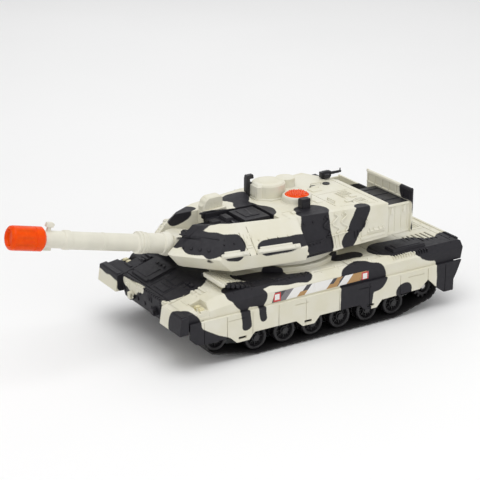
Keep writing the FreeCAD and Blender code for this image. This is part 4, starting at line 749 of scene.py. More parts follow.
def sticker_print():
    """Sticker print: slanted bands in white, ochre and grey on charcoal, red-edged end squares."""
    made, tree, shader, spot = new_finish("sticker_print")
    axes = node(tree, "ShaderNodeSeparateXYZ", {0: spot}).outputs
    length, height = axes[0], axes[2]
    lean = value_of(tree, "MULTIPLY_ADD", height, 0.9, -39.6)
    along = value_of(tree, "ADD", length, lean)

    def between(value, low, high):
        above = value_of(tree, "GREATER_THAN", value, low)
        below = value_of(tree, "LESS_THAN", value, high)
        return value_of(tree, "MULTIPLY", above, below)

    white, ochre = (0.8, 0.79, 0.77, 1), (0.42, 0.24, 0.09, 1)
    grey, red = (0.19, 0.18, 0.19, 1), (0.56, 0.05, 0.05, 1)
    colour = mixed_colour(tree, noise(tree, spot, 0.8), (0.045, 0.043, 0.05, 1), (0.06, 0.057, 0.065, 1))
    half = value_of(tree, "LESS_THAN", height, 44.0)
    for low, high, tone, low_only in (
            (27, 36, grey, False), (17, 29, white, False), (-18, 19, ochre, True), (-8, 12, white, False),
            (-17, -12, ochre, False), (-29, -19, white, False), (-40, -27, ochre, False)):
        mask = between(along, low, high)
        if low_only:
            mask = value_of(tree, "MULTIPLY", mask, half)
        colour = mixed_colour(tree, mask, colour, tone)
    for low in (37.0, -45.5):
        edge = value_of(tree, "MULTIPLY", between(length, low, low + 6.6), between(height, 40.4, 47.6))
        field = value_of(tree, "MULTIPLY", between(length, low + 1.2, low + 5.4), between(height, 41.8, 46.4))
        colour = mixed_colour(tree, edge, colour, red)
        colour = mixed_colour(tree, field, colour, white)
    tree.links.new(colour, shader.inputs["Base Color"])
    grain(tree, shader, spot, 0.9, 0.01, 0.3)
    return made


def pale_floor():
    """Pale studio sweep."""
    made, tree, shader, spot = new_finish("pale_floor")
    tinted(tree, shader, spot, (0.92, 0.92, 0.92), 0.02, 0.002)
    grain(tree, shader, spot, 0.05, 0.02, 0.75)
    return made


# ---------------------------------------------------------------- shells

def grooves_along(bm, lines, width, depth, place=None):
    """Straight panel lines on a surface's own plane, each (x0, y0, x1, y1)."""
    for x0, y0, x1, y1 in lines:
        start, end = Vector((x0, y0, 0)), Vector((x1, y1, 0))
        local = frame_of(start, end - start, Vector((0, 0, 1)).cross(end - start))
        whole = place @ local if place else local
        half = width / 2
        block(bm, (-half, (end - start).length + half), (-half, half), (-depth, 1.0), whole, round_off=0)


GLACIS_RUN, GLACIS_DROP = 30.5, 9.5
GLACIS_TURN = (0, math.atan2(GLACIS_DROP, GLACIS_RUN), 0)
GLACIS = frame_of((90.5, 0, DECK_HEIGHT), (GLACIS_RUN, 0, -GLACIS_DROP), (0, 1, 0))
WEDGE_SIDE = frame_of((81, 46, 76), (-73, 12.5, 0), (-20, -16.5, 19.5))
WEDGE_FACE = frame_of((106, 18.5, 76), (-25, 27.5, 0), (-25, 0, 19.5))
BUSTLE_SIDE = frame_of((14, 54, 65), (-87, -2.5, 2), (0, -13.5, 30.5))


class TANK_OT_hull_shell(bpy.types.Operator):
    """Upper hull moulding with its panel lines"""
    bl_idname = "tank.hull_shell"
    bl_label = "Upper hull"

    def execute(self, context):
        paint = finish("hull_camouflage_and_shadow")
        lines = bmesh.new()
        deck = Matrix.Translation((0, 0, DECK_HEIGHT))
        for side in (1, -1):
            grooves_along(lines, [
                (57, 24 * side, 57, 58 * side), (12, 52 * side, 12, 58 * side),
                (-30, 46 * side, -30, 58 * side), (-62, 22 * side, -62, 58 * side),
                (-100, 4 * side, -100, 56 * side), (-62, 22 * side, -134, 22 * side),
                (57, 50 * side, 40, 50 * side), (-30, 50 * side, -62, 50 * side)], 0.8, 0.9, deck)
        grooves_along(lines, [(-134, -56, -134, 56), (-62, 0, -100, 0)], 0.8, 0.9, deck)
        grooves_along(lines, [
            (1, 37, 31, 37), (1, -37, 31, -37), (27, -36, 27, 36), (3, 20, 27, 20), (3, -1, 27, -1)],
                      0.8, 0.9, GLACIS)
        shell = rounded_copy("upper_hull", grooves=lines)
        piece("upper_hull_shell", shell, "hull", paint, ("upper_hull",))
        return {"FINISHED"}


class TANK_OT_deck_details(bpy.types.Operator):
    """Raised plates, link rows, hinges, louvres and boxes on the hull's deck, nose and rear"""
    bl_idname = "tank.deck_details"
    bl_label = "Deck details"

    def execute(self, context):
        paint = finish("hull_camouflage_and_shadow")
        dark = finish("dark_moulding")
        bm = bmesh.new()
        # driver's hatch, its frame and periscopes, and the plates beside it
        block(bm, (5, 25), (-32, -8), (0.2, 1.5), GLACIS, 0.5)
        block(bm, (8, 22), (-28, -12), (1.4, 2.1), GLACIS, 0.4)
        for y in (-26, -20.5, -15):
            block(bm, (3.4, 6.4), (y, y + 4), (0.5, 2.4), GLACIS, 0.5)
        block(bm, (5, 13), (1.5, 18), (-0.2, 0.8), GLACIS, 0.3)
        block(bm, (6, 12), (3.5, 9), (0.7, 1.3), GLACIS, 0.3)
        block(bm, (15, 24), (1.5, 18), (-0.2, 0.8), GLACIS, 0.3)
        bars_on(bm, GLACIS, (17, 9.8, 1.0), (1.2, 13, 0.8), 2.6, 3, paint, GLACIS_TURN)
        for y in (24, 30):
            bars_on(bm, GLACIS, (5, y, 0.8), (2.6, 4.2, 1.8), 4.3, 5, paint, GLACIS_TURN)
        # teeth along the nose edge, and plates on the nose
        bars(bm, (119.8, -33, 45.3), (2.6, 1.8, 1.6), (0, 3, 0), 23, paint)
        for y in (-30, -12, 6, 24):
            block(bm, (120.2, 121.7), (y, y + 7), (38.5, 43), None, 0.2)
            block(bm, (120.2, 122.4), (y + 2, y + 5), (39.6, 41.8), None, 0.2)
        bars(bm, (119.4, -33, 33.5), (2.4, 1.4, 3.2), (0, 11, 0), 7, paint)
        # track guards: crease strips and hinge bumps
        for side in (1, -1):
            block(bm, (119.5, 124.6), span(side, 37.5, 65.5), (45, 46.1), None, 0.5)
            for x in (104, 110):
                place = Matrix.Translation((x, 45.5 * side - 5, 47.2)) @ Matrix.Rotation(math.pi / 2, 4, "Z")
                lathe(bm, ((0, 0), (0, 1.5), (10, 1.5), (10, 0)), place, 12)
            block(bm, (98, 101.5), span(side, 37, 42), (49.8, 53), None, 0.6)
            # front deck plates and the steps that fall to the glacis
            bars(bm, (62, 41.5 * side, 53.9), (3.4, 31, 2.8), (4.4, 0, 0), 6, paint,
                 (0, math.radians(-15), 0), 0.4)
            bars_on(bm, GLACIS, (3, 42.5 * side, 0.4), (2.2, 10, 2), 3.4, 7, paint,
                    (0, math.radians(8), 0), 0.4)
            # lamp pocket: raised floor and its rear, front and inner walls
            sheet_prism(bm, ((100.1, 41), (100.1, 45.9), (109.9, 44.4), (109.9, 41)),
                        *span(side, 50.5, 64.2), "Y", None, 0.2)
            flip = Matrix.Scale(side, 4, (0, 1, 0))
            sheet_prism(bm, ((49, 41), (49, 50.9), (58, 50.9), (60, 49.7), (64.3, 45.1), (64.3, 41)),
                        98.8, 100.3, "X", flip)
            sheet_prism(bm, ((49, 41), (49, 47.3), (58, 47.3), (62, 46.3), (64.3, 46.2), (64.3, 41)),
                        109.7, 111, "X", flip)
            sheet_prism(bm, ((98.8, 41), (98.8, 51.1), (111, 47.3), (111, 41)), 49, 50.8, "Y", flip)
            # sponson stowage box with ribs, and lids along the sponson
            block(bm, (-108, -75), span(side, 45, 57.5), (53.6, 56.6), None, 0.8)
            block(bm, (-104, -79), span(side, 47, 55.5), (56.4, 57.2), None, 0.5)
            bars(bm, (-72, 61.5 * side, 51.8), (0.9, 3.2, 3.6), (-2.6, 0, 0), 14, paint)
            for start, end in ((-58, -36), (-26, 8), (16, 38)):
                block(bm, (start, end), span(side, 52.2, 57.4), (53.8, 54.8), None, 0.4)
            for x in (-52, -20, 2, 22, 33):
                block(bm, (x, x + 3), span(side, 56.4, 58.6), (53.6, 55.4), None, 0.4)
            # engine deck
            block(bm, (-97, -66), span(side, 3, 19), (53.8, 54.9), None, 0.5)
            bars(bm, (-131, 11 * side, 54.2), (1.3, 15, 1.4), (2.7, 0, 0), 11, paint)
            bars(bm, (-69, 11 * side, 55.1), (1.2, 12, 0.9), (-3.2, 0, 0), 8, paint)
            block(bm, (-98, -66), span(side, 26, 54), (53.7, 54.3), None, 0.3)
            # rear plate: lamp boxes, grille and pintle
            block(bm, (-141.4, -138), span(side, 48, 60), (42.5, 48.5), None, 0.3)
            bars(bm, (-139.9, 34 * side, 42.6), (2.4, 22, 0.9), (-0.18, 0, 1.7), 5, paint)
            block(bm, (-139, -136.4), span(side, 14, 17), (28, 34), None, 0.4)
        block(bm, (-141.2, -138), (-8, 8), (42, 50), None, 0.5)
        block(bm, (-142, -139.4), (-57, 57), (53.4, 55.0), None, 0.3)
        rivets = []
        for side in (1, -1):
            for x in range(-132, 92, 16):
                rivets.append(((x, 59.6 * side, 53.4), (0, 0.7 * side, 0.7)))
            for s in range(4, 30, 6):
                rivets.append(stud_on(GLACIS, s, 36 * side, 0.2))
        for y in range(-52, 60, 13):
            rivets.append(((-137, y, 54.1), (0, 0, 1)))
        studs(bm, rivets, paint, sizes().rivet_radius / MM, 0.5)
        piece("deck_details", bm, "hull", paint)

        lamps = bmesh.new()
        for y in (52.6, 58.4):
            block(lamps, (102.4, 107), (y, y + 4), (43, 47.6), None, 0.3, 0.4)
            block(lamps, (106.6, 107.5), (y + 0.7, y + 3.3), (44, 47), None, 0.1, 0.3)
        mirrored(lamps)
        piece("lamp_blocks", lamps, "hull", finish("lamp_cream"))

        black = bmesh.new()
        for y in (-4, 20.5):
            block(black, (7, 11), (y, y + 4), (-0.4, 0.25), GLACIS, 0)
        for y in (-34.6, 34.6):
            block(black, (3, 5), (y - 1.2, y + 1.2), (-0.3, 0.3), GLACIS, 0)
        for side in (1, -1):
            block(black, (-128.4, -103), span(side, 30, 48), (52.4, 53.3), None, 0)
        piece("deck_slots", black, "hull", dark)
        return {"FINISHED"}


class TANK_OT_skirts(bpy.types.Operator):
    """Side skirts with their panel joints and short horizontal grooves"""
    bl_idname = "tank.skirts"
    bl_label = "Side skirts"

    def execute(self, context):
        paint = finish("hull_camouflage_and_shadow")
        for name, side in SIDES:
            joints = bmesh.new()
            face = span(side, 66.5, 67.6)
            for x in (106, 86, 63.5, 40, 15, -16.6, -45.5, -76, -104, -122):
                block(joints, (x - 0.35, x + 0.35), face, (12, 38.2), None, 0, 0)
            for x, length in ((78, 14), (19, 12), (-41, 12), (-92, 16)):
                block(joints, (x - length / 2, x + length / 2), face, (34.4, 35.1), None, 0, 0)
            bm = rounded_copy(name + "_skirt", grooves=joints)
            piece(name + "_skirt_panels", bm, "hull", paint, (name + "_skirt",))
        return {"FINISHED"}


class TANK_OT_turret_shell(bpy.types.Operator):
    """Turret moulding with its panel lines"""
    bl_idname = "tank.turret_shell"
    bl_label = "Turret shell"

    def execute(self, context):
        lines = bmesh.new()
        for side in (1, -1):
            flip = Matrix.Scale(side, 4, (0, 1, 0))
            grooves_along(lines, [(0.5, 15.5, 36.5, 15.5)], 1.1, 1.1, flip @ WEDGE_FACE)
            grooves_along(lines, [(1, 15.5, 9, 15.5), (26, 0.5, 22, 20), (31.5, 0.5, 29, 24)], 0.7, 0.6,
                          flip @ WEDGE_SIDE)
        roof = Matrix.Translation((0, 0, ROOF_HEIGHT))
        grooves_along(lines, [
            (-33, -18, -33, 36), (-68, -22, -68, 44), (-36, 6, -65, 6), (-1, 27, 12, 27), (14, 30, 14, 37),
            (-36, 38, -65, 44), (-50, 9, -50, 36)], 0.6, 0.5, roof)
        shell = rounded_copy("turret_shell", grooves=lines)
        piece("turret_shell_moulding", shell, "turret", finish("turret_camouflage"),
              ("turret_shell",))
        return {"FINISHED"}


class TANK_OT_turret_details(bpy.types.Operator):
    """Strips, rivets, cables, ribs, boxes and plates moulded on the turret"""
    bl_idname = "tank.turret_details"
    bl_label = "Turret details"

    def execute(self, context):
        paint = finish("turret_camouflage")
        bm = bmesh.new()
        for s in (7, 14, 21, 28):
            lathe(bm, ((-0.5, 0), (-0.5, 1.3), (0.5, 1.3), (1.0, 0.9), (1.0, 0)),
                  WEDGE_FACE @ Matrix.Translation((s, 7.5, 0)) @ Matrix.Rotation(-math.pi / 2, 4, "Y"), 12)
        block(bm, (2, 34), (17.5, 18.6), (-0.3, 0.6), WEDGE_FACE, 0.2)
        hug(bm, 0, "turret_shell", WEDGE_FACE)
        # plates, clips and rivets of the wedge's side
        first = len(bm.verts)
        block(bm, (24.5, 30), (6, 19), (-0.4, 0.7), WEDGE_SIDE, 0.3)
        block(bm, (25.5, 29), (8, 12), (0.4, 1.3), WEDGE_SIDE, 0.2)
        for s in (27, 29.5):
            block(bm, (s, s + 1), (14, 17), (0.4, 1.2), WEDGE_SIDE, 0.1)
        rivets = [stud_on(WEDGE_SIDE, s, 12, 0.1) for s in (8, 16, 36, 44, 52, 60)]
        studs(bm, rivets, paint, sizes().rivet_radius / MM + 0.2, 0.8)
        for s in (10, 24, 45, 66):
            block(bm, (s, s + 1.6), (0.5, 4.8), (0, 0.9), WEDGE_SIDE, 0.1, 0.2)
        hug(bm, first, "turret_shell", WEDGE_SIDE)
        # side of the bustle: lower plate, upright ribs, a stowed cable, hooks and clips
        first = len(bm.verts)
        block(bm, (5, 27), (2, 11), (-0.4, 1.0), BUSTLE_SIDE, 0.3)
        bars_on(bm, BUSTLE_SIDE, (9, 6.5, 1.1), (1.1, 0.9, 7.5), 3.2, 5, paint)
        for s in (33, 36.4, 39.8):
            block(bm, (s, s + 1.3), (2, 13), (-0.3, 1.1), BUSTLE_SIDE, 0.2)
        for base in (31, 39, 47):
            points = []
            for step in range(25):
                turn = step / 24 * 3 * math.pi
                points.append((base + 2.6 * math.sin(turn), 13 + step * 0.62, 0.5))
            tube(bm, points, 0.75, BUSTLE_SIDE)
        hook = [(64, 12, 0.3), (66, 15, 1.2), (68.5, 17, 1.2), (66, 20, 1.2), (63, 21.5, 0.7)]
        tube(bm, hook, 0.7, BUSTLE_SIDE)
        block(bm, (29, 52), (11.2, 12.6), (-0.3, 1.3), BUSTLE_SIDE, 0.2)
        block(bm, (60, 84), (2.2, 5.2), (-0.3, 1.1), BUSTLE_SIDE, 0.3)
        block(bm, (67, 84), (6.5, 27), (-0.3, 1.3), BUSTLE_SIDE, 0.5)
        for s in (69, 73, 78, 81.5):
            block(bm, (s, s + 1.1), (7.5, 26), (1.1, 1.8), BUSTLE_SIDE, 0.2)
        for s in (55, 58, 61):
            block(bm, (s, s + 1.2), (5, 11), (-0.3, 1.1), BUSTLE_SIDE, 0.2)
        rivets = [stud_on(BUSTLE_SIDE, s, 26, 0.2) for s in (12, 20, 30, 46, 54, 62)]
        studs(bm, rivets, paint, sizes().rivet_radius / MM + 0.2, 0.8)
        hug(bm, first, "turret_shell", BUSTLE_SIDE)
        mirrored(bm)
        # trench boxes in front of the roof step, and a ledge
        for x0, x1, y0, y1, top, slope in ((22, 45, 0, 26, 95.0, 0.3), (27, 41, 3, 20, 95.6, 0.6),
                                           (47, 55, 1, 14, 94.4, 1.2), (58, 66, 4, 12, 93.2, 0.6)):
            block(bm, (x0, x1), (y0, y1), (91, top), None, slope, 0.3)
        block(bm, (44, 68), (-5.4, -3.2), (95, 96.4), None, 0.4)
        # roof rear: vents, lid, rails
        for x, y, length, width, high in (
                (-60, 10, 10, 12, 96.6), (-46, -10, 10, 9, 96.4), (-30, 14, 6, 9, 96.3),
                (-62, 30, 9, 10, 96.5), (-1, 30, 8, 5, 96.8)):
            block(bm, (x, x + length), (y, y + width), (95.2, high), None, 0.4)
        bars(bm, (-58.5, 16, 97), (0.9, 9, 0.8), (1.7, 0, 0), 5, paint)
        bars(bm, (-60, 35, 96.9), (0.9, 7, 0.8), (1.7, 0, 0), 4, paint)
        tube(bm, [(-36, 20, 95.4), (-36, 20, 97.4), (-36, 30, 97.4), (-36, 30, 95.4)], 0.5)
        tube(bm, [(-54, -16, 95.4), (-54, -16, 97.2), (-44, -16, 97.2), (-44, -16, 95.4)], 0.5)
        piece("turret_details", bm, "turret", paint)

        strips = bmesh.new()
        for start, end in ((3, 25), (32, 68)):
            block(strips, (start, end), (0.3, 4.2), (-0.5, 1.9), WEDGE_SIDE, 0.4, 0.4)
            block(strips, (start + 3, end - 6), (3.8, 6.0), (-0.5, 1.1), WEDGE_SIDE, 0.2, 0.3)
            for s in (start + 1, end - 5):
                block(strips, (s, s + 3), (0.8, 3.4), (1.7, 2.5), WEDGE_SIDE, 0.1, 0.3)
        hug(strips, 0, "turret_shell", WEDGE_SIDE)
        mirrored(strips)
        piece("lip_strips", strips, "turret", finish("cream_plastic"))

        dark = bmesh.new()
        block(dark, (-13.6, -5.4), (23.4, 29.2), (96, 103.4), None, 0.3, 0.4)
        # two black slats across the front trench: painted shadow, dark strips set where the trench shows
        # diagonal shadow lines
        for x, y, z in ((33, 11, 95.5), (51, 18, 92.4)):
            place = Matrix.Translation((x, y, z)) @ Matrix.Rotation(math.radians(-12), 4, "Z")
            block(dark, (-0.8, 0.8), (-7, 7), (-1.5, 0.3), place, 0, 0)
        for x, y in ((-58, -14), (-44, -12)):
            place = Matrix.Translation((x, y, 95.3)) @ Matrix.Rotation(math.pi / 2, 4, "Y")
            lathe(dark, ((-1.0, 0), (-1.0, 3.0), (0.2, 3.2), (0.2, 0)), place, 16)
        piece("turret_black_fittings_and_shadow_slats", dark, "turret", finish("dark_moulding"))
        return {"FINISHED"}


class TANK_OT_roof_fittings(bpy.types.Operator):
    """Commander's cupola, loader's hatch with its orange lens, periscope and gunner's sight"""
    bl_idname = "tank.roof_fittings"
    bl_label = "Roof fittings"

    def execute(self, context):
        paint = finish("turret_camouflage")
        low, high = node_box("commander_cupola")
        middle = (low + high) / 2
        upright = Matrix.Translation((middle.x, middle.y, low.z)) @ Matrix.Rotation(-math.pi / 2, 4, "Y")
        radius = (high.x - low.x) / 2
        tall = high.z - low.z
        bm = bmesh.new()
        lathe(bm, (
            (0, 0), (0, radius), (tall - 2.6, radius), (tall - 1.6, radius - 0.5), (tall - 1.5, radius - 1.1),
            (tall - 0.9, radius - 1.4), (tall - 0.2, radius - 5), (tall - 0.2, radius - 5.4),
            (tall, radius - 5.6), (tall, 0)), upright, 64)
        for turn in (40, 100, 160, 220, 280):
            place = upright @ Matrix.Rotation(math.radians(turn), 4, "X")
            block(bm, (0.4, tall - 3.4), (-2.8, 2.8), (radius - 2, radius - 0.05), place, 0.15)
        handle = Matrix.Translation((middle.x - 2, middle.y, low.z))
        block(bm, (-6, 6), (-1.2, 1.2), (tall - 0.6, tall - 0.01), handle, 0.2)
        piece("cupola", bm, "turret", paint, ("commander_cupola",))

        low, high = node_box("loader_hatch")
        middle = (low + high) / 2
        upright = Matrix.Translation((middle.x, middle.y, low.z)) @ Matrix.Rotation(-math.pi / 2, 4, "Y")
        radius = (high.x - low.x) / 2
        tall = high.z - low.z
        lens_low, lens_high = node_box("hatch_lens")
        seat = (lens_high.x - lens_low.x) / 2
        bm = bmesh.new()
        lathe(bm, (
            (0, 4), (0, radius), (tall - 1.8, radius), (tall - 0.5, radius - 0.5), (tall, radius - 1.1),
            (tall, seat + 0.3), (tall - 0.4, seat + 0.06), (tall - 2.2, seat + 0.06), (tall - 2.2, 4)),
            upright, 64)
        hinge = Matrix.Translation((middle.x, middle.y, low.z))
        block(bm, (-radius, -radius + 2.5), (-3, 3), (0.2, tall - 1), hinge, 0.3)
        piece("hatch_ring", bm, "turret", finish("cream_plastic"), ("loader_hatch",))

        upright = Matrix.Translation((middle.x, middle.y, lens_low.z)) @ Matrix.Rotation(-math.pi / 2, 4, "Y")
        tall = lens_high.z - lens_low.z
        bm = bmesh.new()
        lathe(bm, ((0, 0), (0, seat), (tall - 1.7, seat), (tall - 1.1, seat - 0.7), (tall - 0.5, seat * 0.66),
                   (tall - 0.25, seat * 0.3), (tall - 0.25, 0)), upright, 48)
        places = []
        cell, row_share = 2.1, 0.866
        for row in range(-4, 5):
            for column in range(-4, 5):
                x = (column + 0.5 * (row % 2)) * cell
                y = row * cell * row_share
                away = math.hypot(x, y)
                if away < seat - 1.4:
                    drop = 0.75 * (away / seat) ** 2
                    places.append(((middle.x + x, middle.y + y, lens_high.z - 0.3 - drop), (0, 0, 1)))
        studs(bm, places, finish("orange_clear"), 1.02, 0.5, 6)
        piece("hatch_lens_facets", bm, "turret", finish("orange_clear"), ("hatch_lens",))

        bm = bmesh.new()
        sheet_prism(bm, ((4, -20.5), (13.1, -20.5), (13.1, -8), (11.5, -7.2), (4, -7.2)),
                    95.6, 106.4, "Z", None, 0.5)
        block(bm, (12.6, 13.5), (-18, -9.5), (98.5, 104.5), None, 0.4, 0.2)
        block(bm, (3, 12), (-20, -8), (106, 107.6), None, 1.2, 0.5)
        turns = [math.pi * (step + 0.5) / 4 for step in range(8)]
        plinth = [(-2.5 + 17.6 * math.cos(turn), -15.5 + 16.6 * math.sin(turn)) for turn in turns]
        sheet_prism(bm, plinth, 95.3, 96.7, "Z", None, 0.3)
        piece("sight_housing", bm, "turret", finish("cream_plastic"))

        bm = bmesh.new()
        block(bm, (12.9, 16.5), (-22.5, -18), (95.5, 112), None, 0.0, 0.4)
        block(bm, (9.4, 16.5), (-22.5, -18), (110.6, 114), None, 0.3, 0.5)
        block(bm, (10.2, 13.2), (-22, -18.6), (104.5, 107.5), None, 0.2, 0.4)
        for z in (97, 101, 105):
            block(bm, (16, 16.5), (-22, -18.6), (z, z + 2), None, 0.05, 0.1)
        piece("periscope", bm, "turret", finish("dark_moulding"), ("commander_periscope",))

        bm = bmesh.new()
        hood = ((45.6, 95.4), (45.6, 105.1), (47.6, 106.9), (58.4, 106.5), (61.9, 103.9), (63.4, 98.5),
                (63.4, 92), (61, 92))
        sheet_prism(bm, hood, -14.9, -6.1, "Y", None, 0.9)
        sheet_prism(bm, ((44, 95.4), (44, 98), (64, 96.6), (66, 95.4), (66, 91.2), (60, 91.2)),
                    -5.9, -3.2, "Y", None, 0.4)
        window = ((58.6, 105.2), (63.2, 99.2), (64.2, 99.2), (59.4, 106.2))
        sheet_prism(bm, window, -13.4, -7.6, "Y", None, 0.2)
        bars(bm, (48, -6.1, 99.5), (0.8, 0.5, 6), (2.6, 0, 0), 5, paint)
        piece("gunner_sight_hood", bm, "turret", paint, ("gunner_sight",))
        return {"FINISHED"}


class TANK_OT_stowage(bpy.types.Operator):
    """Stowage basket with ribbed walls and corner knobs, and the box inside it"""
    bl_idname = "tank.stowage"
    bl_label = "Turret stowage"

    def execute(self, context):
        paint = finish("turret_camouflage")
        bm = rounded_copy("stowage_basket")
        for y in (-6, 3.5, 13, 22.5, 32, 41.5, 50.5):
            block(bm, (-95.4, -94.4), (y - 0.7, y + 0.7), (93.4, 102.8), None, 0.2)
            block(bm, (-97, -96.6), (y - 0.7, y + 0.7), (68, 102.8), None, 0.1, 0.1)
        block(bm, (-95.6, -94.4), (-7.6, 52.2), (101.2, 103.3), None, 0.3)
        block(bm, (-95.4, -94.3), (-7.6, 52.2), (93.2, 94.4), None, 0.2)
        for y in (-20, -32, -44):
            block(bm, (-97, -96.6), (y - 0.7, y + 0.7), (68, 86.6), None, 0.1, 0.1)
        for x in (-93.4, -87.2, -81, -75.4):
            block(bm, (x, x + 0.9), (50.2, 51.0), (68, 91.8), None, 0.15, 0.15)
        for x in (-91, -79):
            block(bm, (x, x + 3), (50.1, 51.6), (85, 90.5), None, 0.3)
        block(bm, (-95, -73.4), (50.3, 51.0), (68, 70), None, 0.2, 0.15)
        block(bm, (-95, -73.4), (48.9, 51.3), (91.2, 92.8), None, 0.3)
        for x in (-92, -84.5, -77):
            block(bm, (x, x + 2.4), (-49.4, -48.6), (69, 85.5), None, 0.15, 0.15)
        knobs = [((-95.2, 52.3, 102.6), (0, 0, 1)), ((-95.2, -7.2, 102.6), (0, 0, 1))]
        studs(bm, knobs, paint, 1.2, 1.6)
        piece("stowage_walls", bm, "turret", paint, ("stowage_basket",))

        bm = rounded_copy("stowage_bin")
        for y in (10, 24, 38):
            block(bm, (-94.2, -74), (y - 0.6, y + 0.6), (92.3, 93.1), None, 0.2)
        for y in (16, 34):
            block(bm, (-80, -76), (y - 2, y + 2), (92.3, 93.4), None, 0.4)
        piece("stowage_box", bm, "turret", finish("dark_moulding"), ("stowage_bin",))
        return {"FINISHED"}


class TANK_OT_gun(bpy.types.Operator):
    """Gun barrel with its sleeves and muzzle sight, its mantlet, and the orange muzzle cap"""
    bl_idname = "tank.gun"
    bl_label = "Gun"

    def execute(self, context):
        paint = finish("cream_plastic")
        pivot = FROM_FRAME @ Vector(JOINTS["gun_elevation"]["pos_m"])
        tip = node_box("muzzle_cap")
        lean = math.atan2((tip[0].z + tip[1].z) / 2 - pivot.z, (tip[0].x + tip[1].x) / 2 - pivot.x)
        gun = Matrix.Translation(pivot) @ Matrix.Rotation(-lean, 4, "Y")
        bm = bmesh.new()
        lathe(bm, (
            (3, 3.2), (3, 6.5), (19.2, 6.5), (19.2, 9.0), (20.4, 9.5), (22.6, 9.3), (25.6, 8.5), (26, 7.9),
            (39, 7.7), (39.4, 8.1), (40.4, 8.1), (40.8, 7.7), (42.4, 7.8), (42.9, 8.7), (44.6, 8.7),
            (45, 8.1), (45.6, 8.1), (46, 8.7), (47.6, 8.6), (48.4, 7.2), (50, 6.6), (76, 6.5), (76.3, 6.75),
            (77.3, 6.75), (77.6, 6.5), (104.4, 6.5), (104.9, 7.3), (105.9, 7.4), (108.9, 7.4),
            (109.8, 7.2), (110.4, 6.5),
            (134.6, 6.5), (134.6, 3.2)), gun, 56)
        block(bm, (121.1, 124.1), (-1.2, 1.2), (5.5, 9.8), gun, 0.1)
        block(bm, (119.6, 125.6), (-2.2, 2.2), (9.5, 13.0), gun, 0.5, 0.4)
        block(bm, (118.8, 120), (-1.4, 1.4), (10.6, 12.2), gun, 0.1, 0.2)
        block(bm, (118.6, 125.6), (-1.6, 1.6), (-8.5, -5.5), gun, 0.1, 0.4)
        block(bm, (52, 104), (-1.5, 1.5), (-6.9, -6.0), gun, 0, 0.2)
        piece("barrel", bm, "gun", paint, ("gun_barrel",))

        bm = rounded_copy("mantlet")
        block(bm, (-8, 10), (-10.5, 10.5), (8.4, 9.9), gun, 1.2, 0.5)
        block(bm, (-4, 7), (-6, 6), (9.7, 10.6), gun, 0.8, 0.3)
        rows = [stud_on(gun, s, 11.2 * side, 9.2) for s in (-7, 0, 8) for side in (1, -1)]
        studs(bm, rows, paint, sizes().rivet_radius / MM, 0.6)
        piece("mantlet_casing", bm, "gun", finish("turret_camouflage"), ("mantlet",))

        orange = finish("orange_clear")
        bm = bmesh.new()
        lathe(bm, (
            (126.6, 6.55), (126.6, 7.6), (128.2, 9.2), (133.6, 9.2), (134.0, 8.8), (134.8, 8.8), (135.2, 9.2),
            (150.6, 9.2), (152.2, 8.8), (153.2, 7.6), (153.4, 6.4), (153.0, 6.2), (151.4, 5.2), (151.4, 0),
            (150.2, 0), (150.2, 6.0), (134.8, 7.2), (134.8, 6.55)), gun, 56)
        for index in range(CAP_RIBS):
            turn = gun @ Matrix.Rotation(2 * math.pi * index / CAP_RIBS, 4, "X")
            block(bm, (137, 149.5), (-0.9, 0.9), (8.6, 9.18), turn, 0.1, 0.2)
        piece("muzzle_tip", bm, "gun", orange, ("muzzle_cap",))
        return {"FINISHED"}


class TANK_OT_machine_gun(bpy.types.Operator):
    """Small machine gun on the roof, with a cooling jacket, handles and sights"""
    bl_idname = "tank.machine_gun"
    bl_label = "Machine gun"

    def execute(self, context):
        low, _ = node_box("machine_gun")
        bm = rounded_copy("machine_gun")
        base = low.x + 18
        middle = -27
        place = Matrix.Translation((base, middle, 99.1))
        lathe(bm, ((-11, 0), (-11, 1.25), (-7.2, 1.25), (-7.2, 0)), place, 16)
        for step in range(4):
            lathe(bm, ((-15.8 + step * 1.3, 0), (-15.8 + step * 1.3, 1.15), (-15.2 + step * 1.3, 1.15),
                       (-15.2 + step * 1.3, 0)), place, 12)
        block(bm, (base - 5, base + 1), (middle - 1.5, middle + 1.5), (101.2, 102), None, 0.3, 0.2)
        piece("roof_machine_gun", bm, "machine_gun", finish("dark_moulding"),
              ("machine_gun",))
        return {"FINISHED"}


def hull_outline(circles, spacing):
    """Evenly spaced points of the tight loop round circles of (x, z, radius)."""
    cloud = []
    for x, z, radius in circles:
        for step in range(180):
            turn = math.pi * step / 90
            cloud.append((x + radius * math.cos(turn), z + radius * math.sin(turn)))
    cloud.sort()
    loop = []
    for row in (cloud, cloud[::-1]):
        chain = []
        for point in row:
            while len(chain) > 1:
                (ax, az), (bx, bz) = chain[-2], chain[-1]
                if (bx - ax) * (point[1] - az) - (bz - az) * (point[0] - ax) > 0:
                    break
                chain.pop()
            chain.append(point)
        loop += chain[:-1]
    lengths = [math.dist(loop[index], loop[(index + 1) % len(loop)]) for index in range(len(loop))]
    total = sum(lengths)
    count = round(total / spacing)
    points = []
    index, done = 0, 0.0
    for step in range(count):
        want = total * step / count
        while done + lengths[index] < want:
            done += lengths[index]
            index += 1
        share = (want - done) / lengths[index]
        (ax, az), (bx, bz) = loop[index], loop[(index + 1) % len(loop)]
        points.append((ax + (bx - ax) * share, az + (bz - az) * share))
    return points, total


def wheel_circles(side, grown_by):
    """The wheels that a track runs round, as (x, z, radius)."""
    circles = []
    for name in ("wheel_1", "wheel_6", "idler", "sprocket"):
        low, high = node_box(f"{side}_{name}")
        circles.append(((low.x + high.x) / 2, (low.z + high.z) / 2, (high.z - low.z) / 2 + grown_by))
    return circles


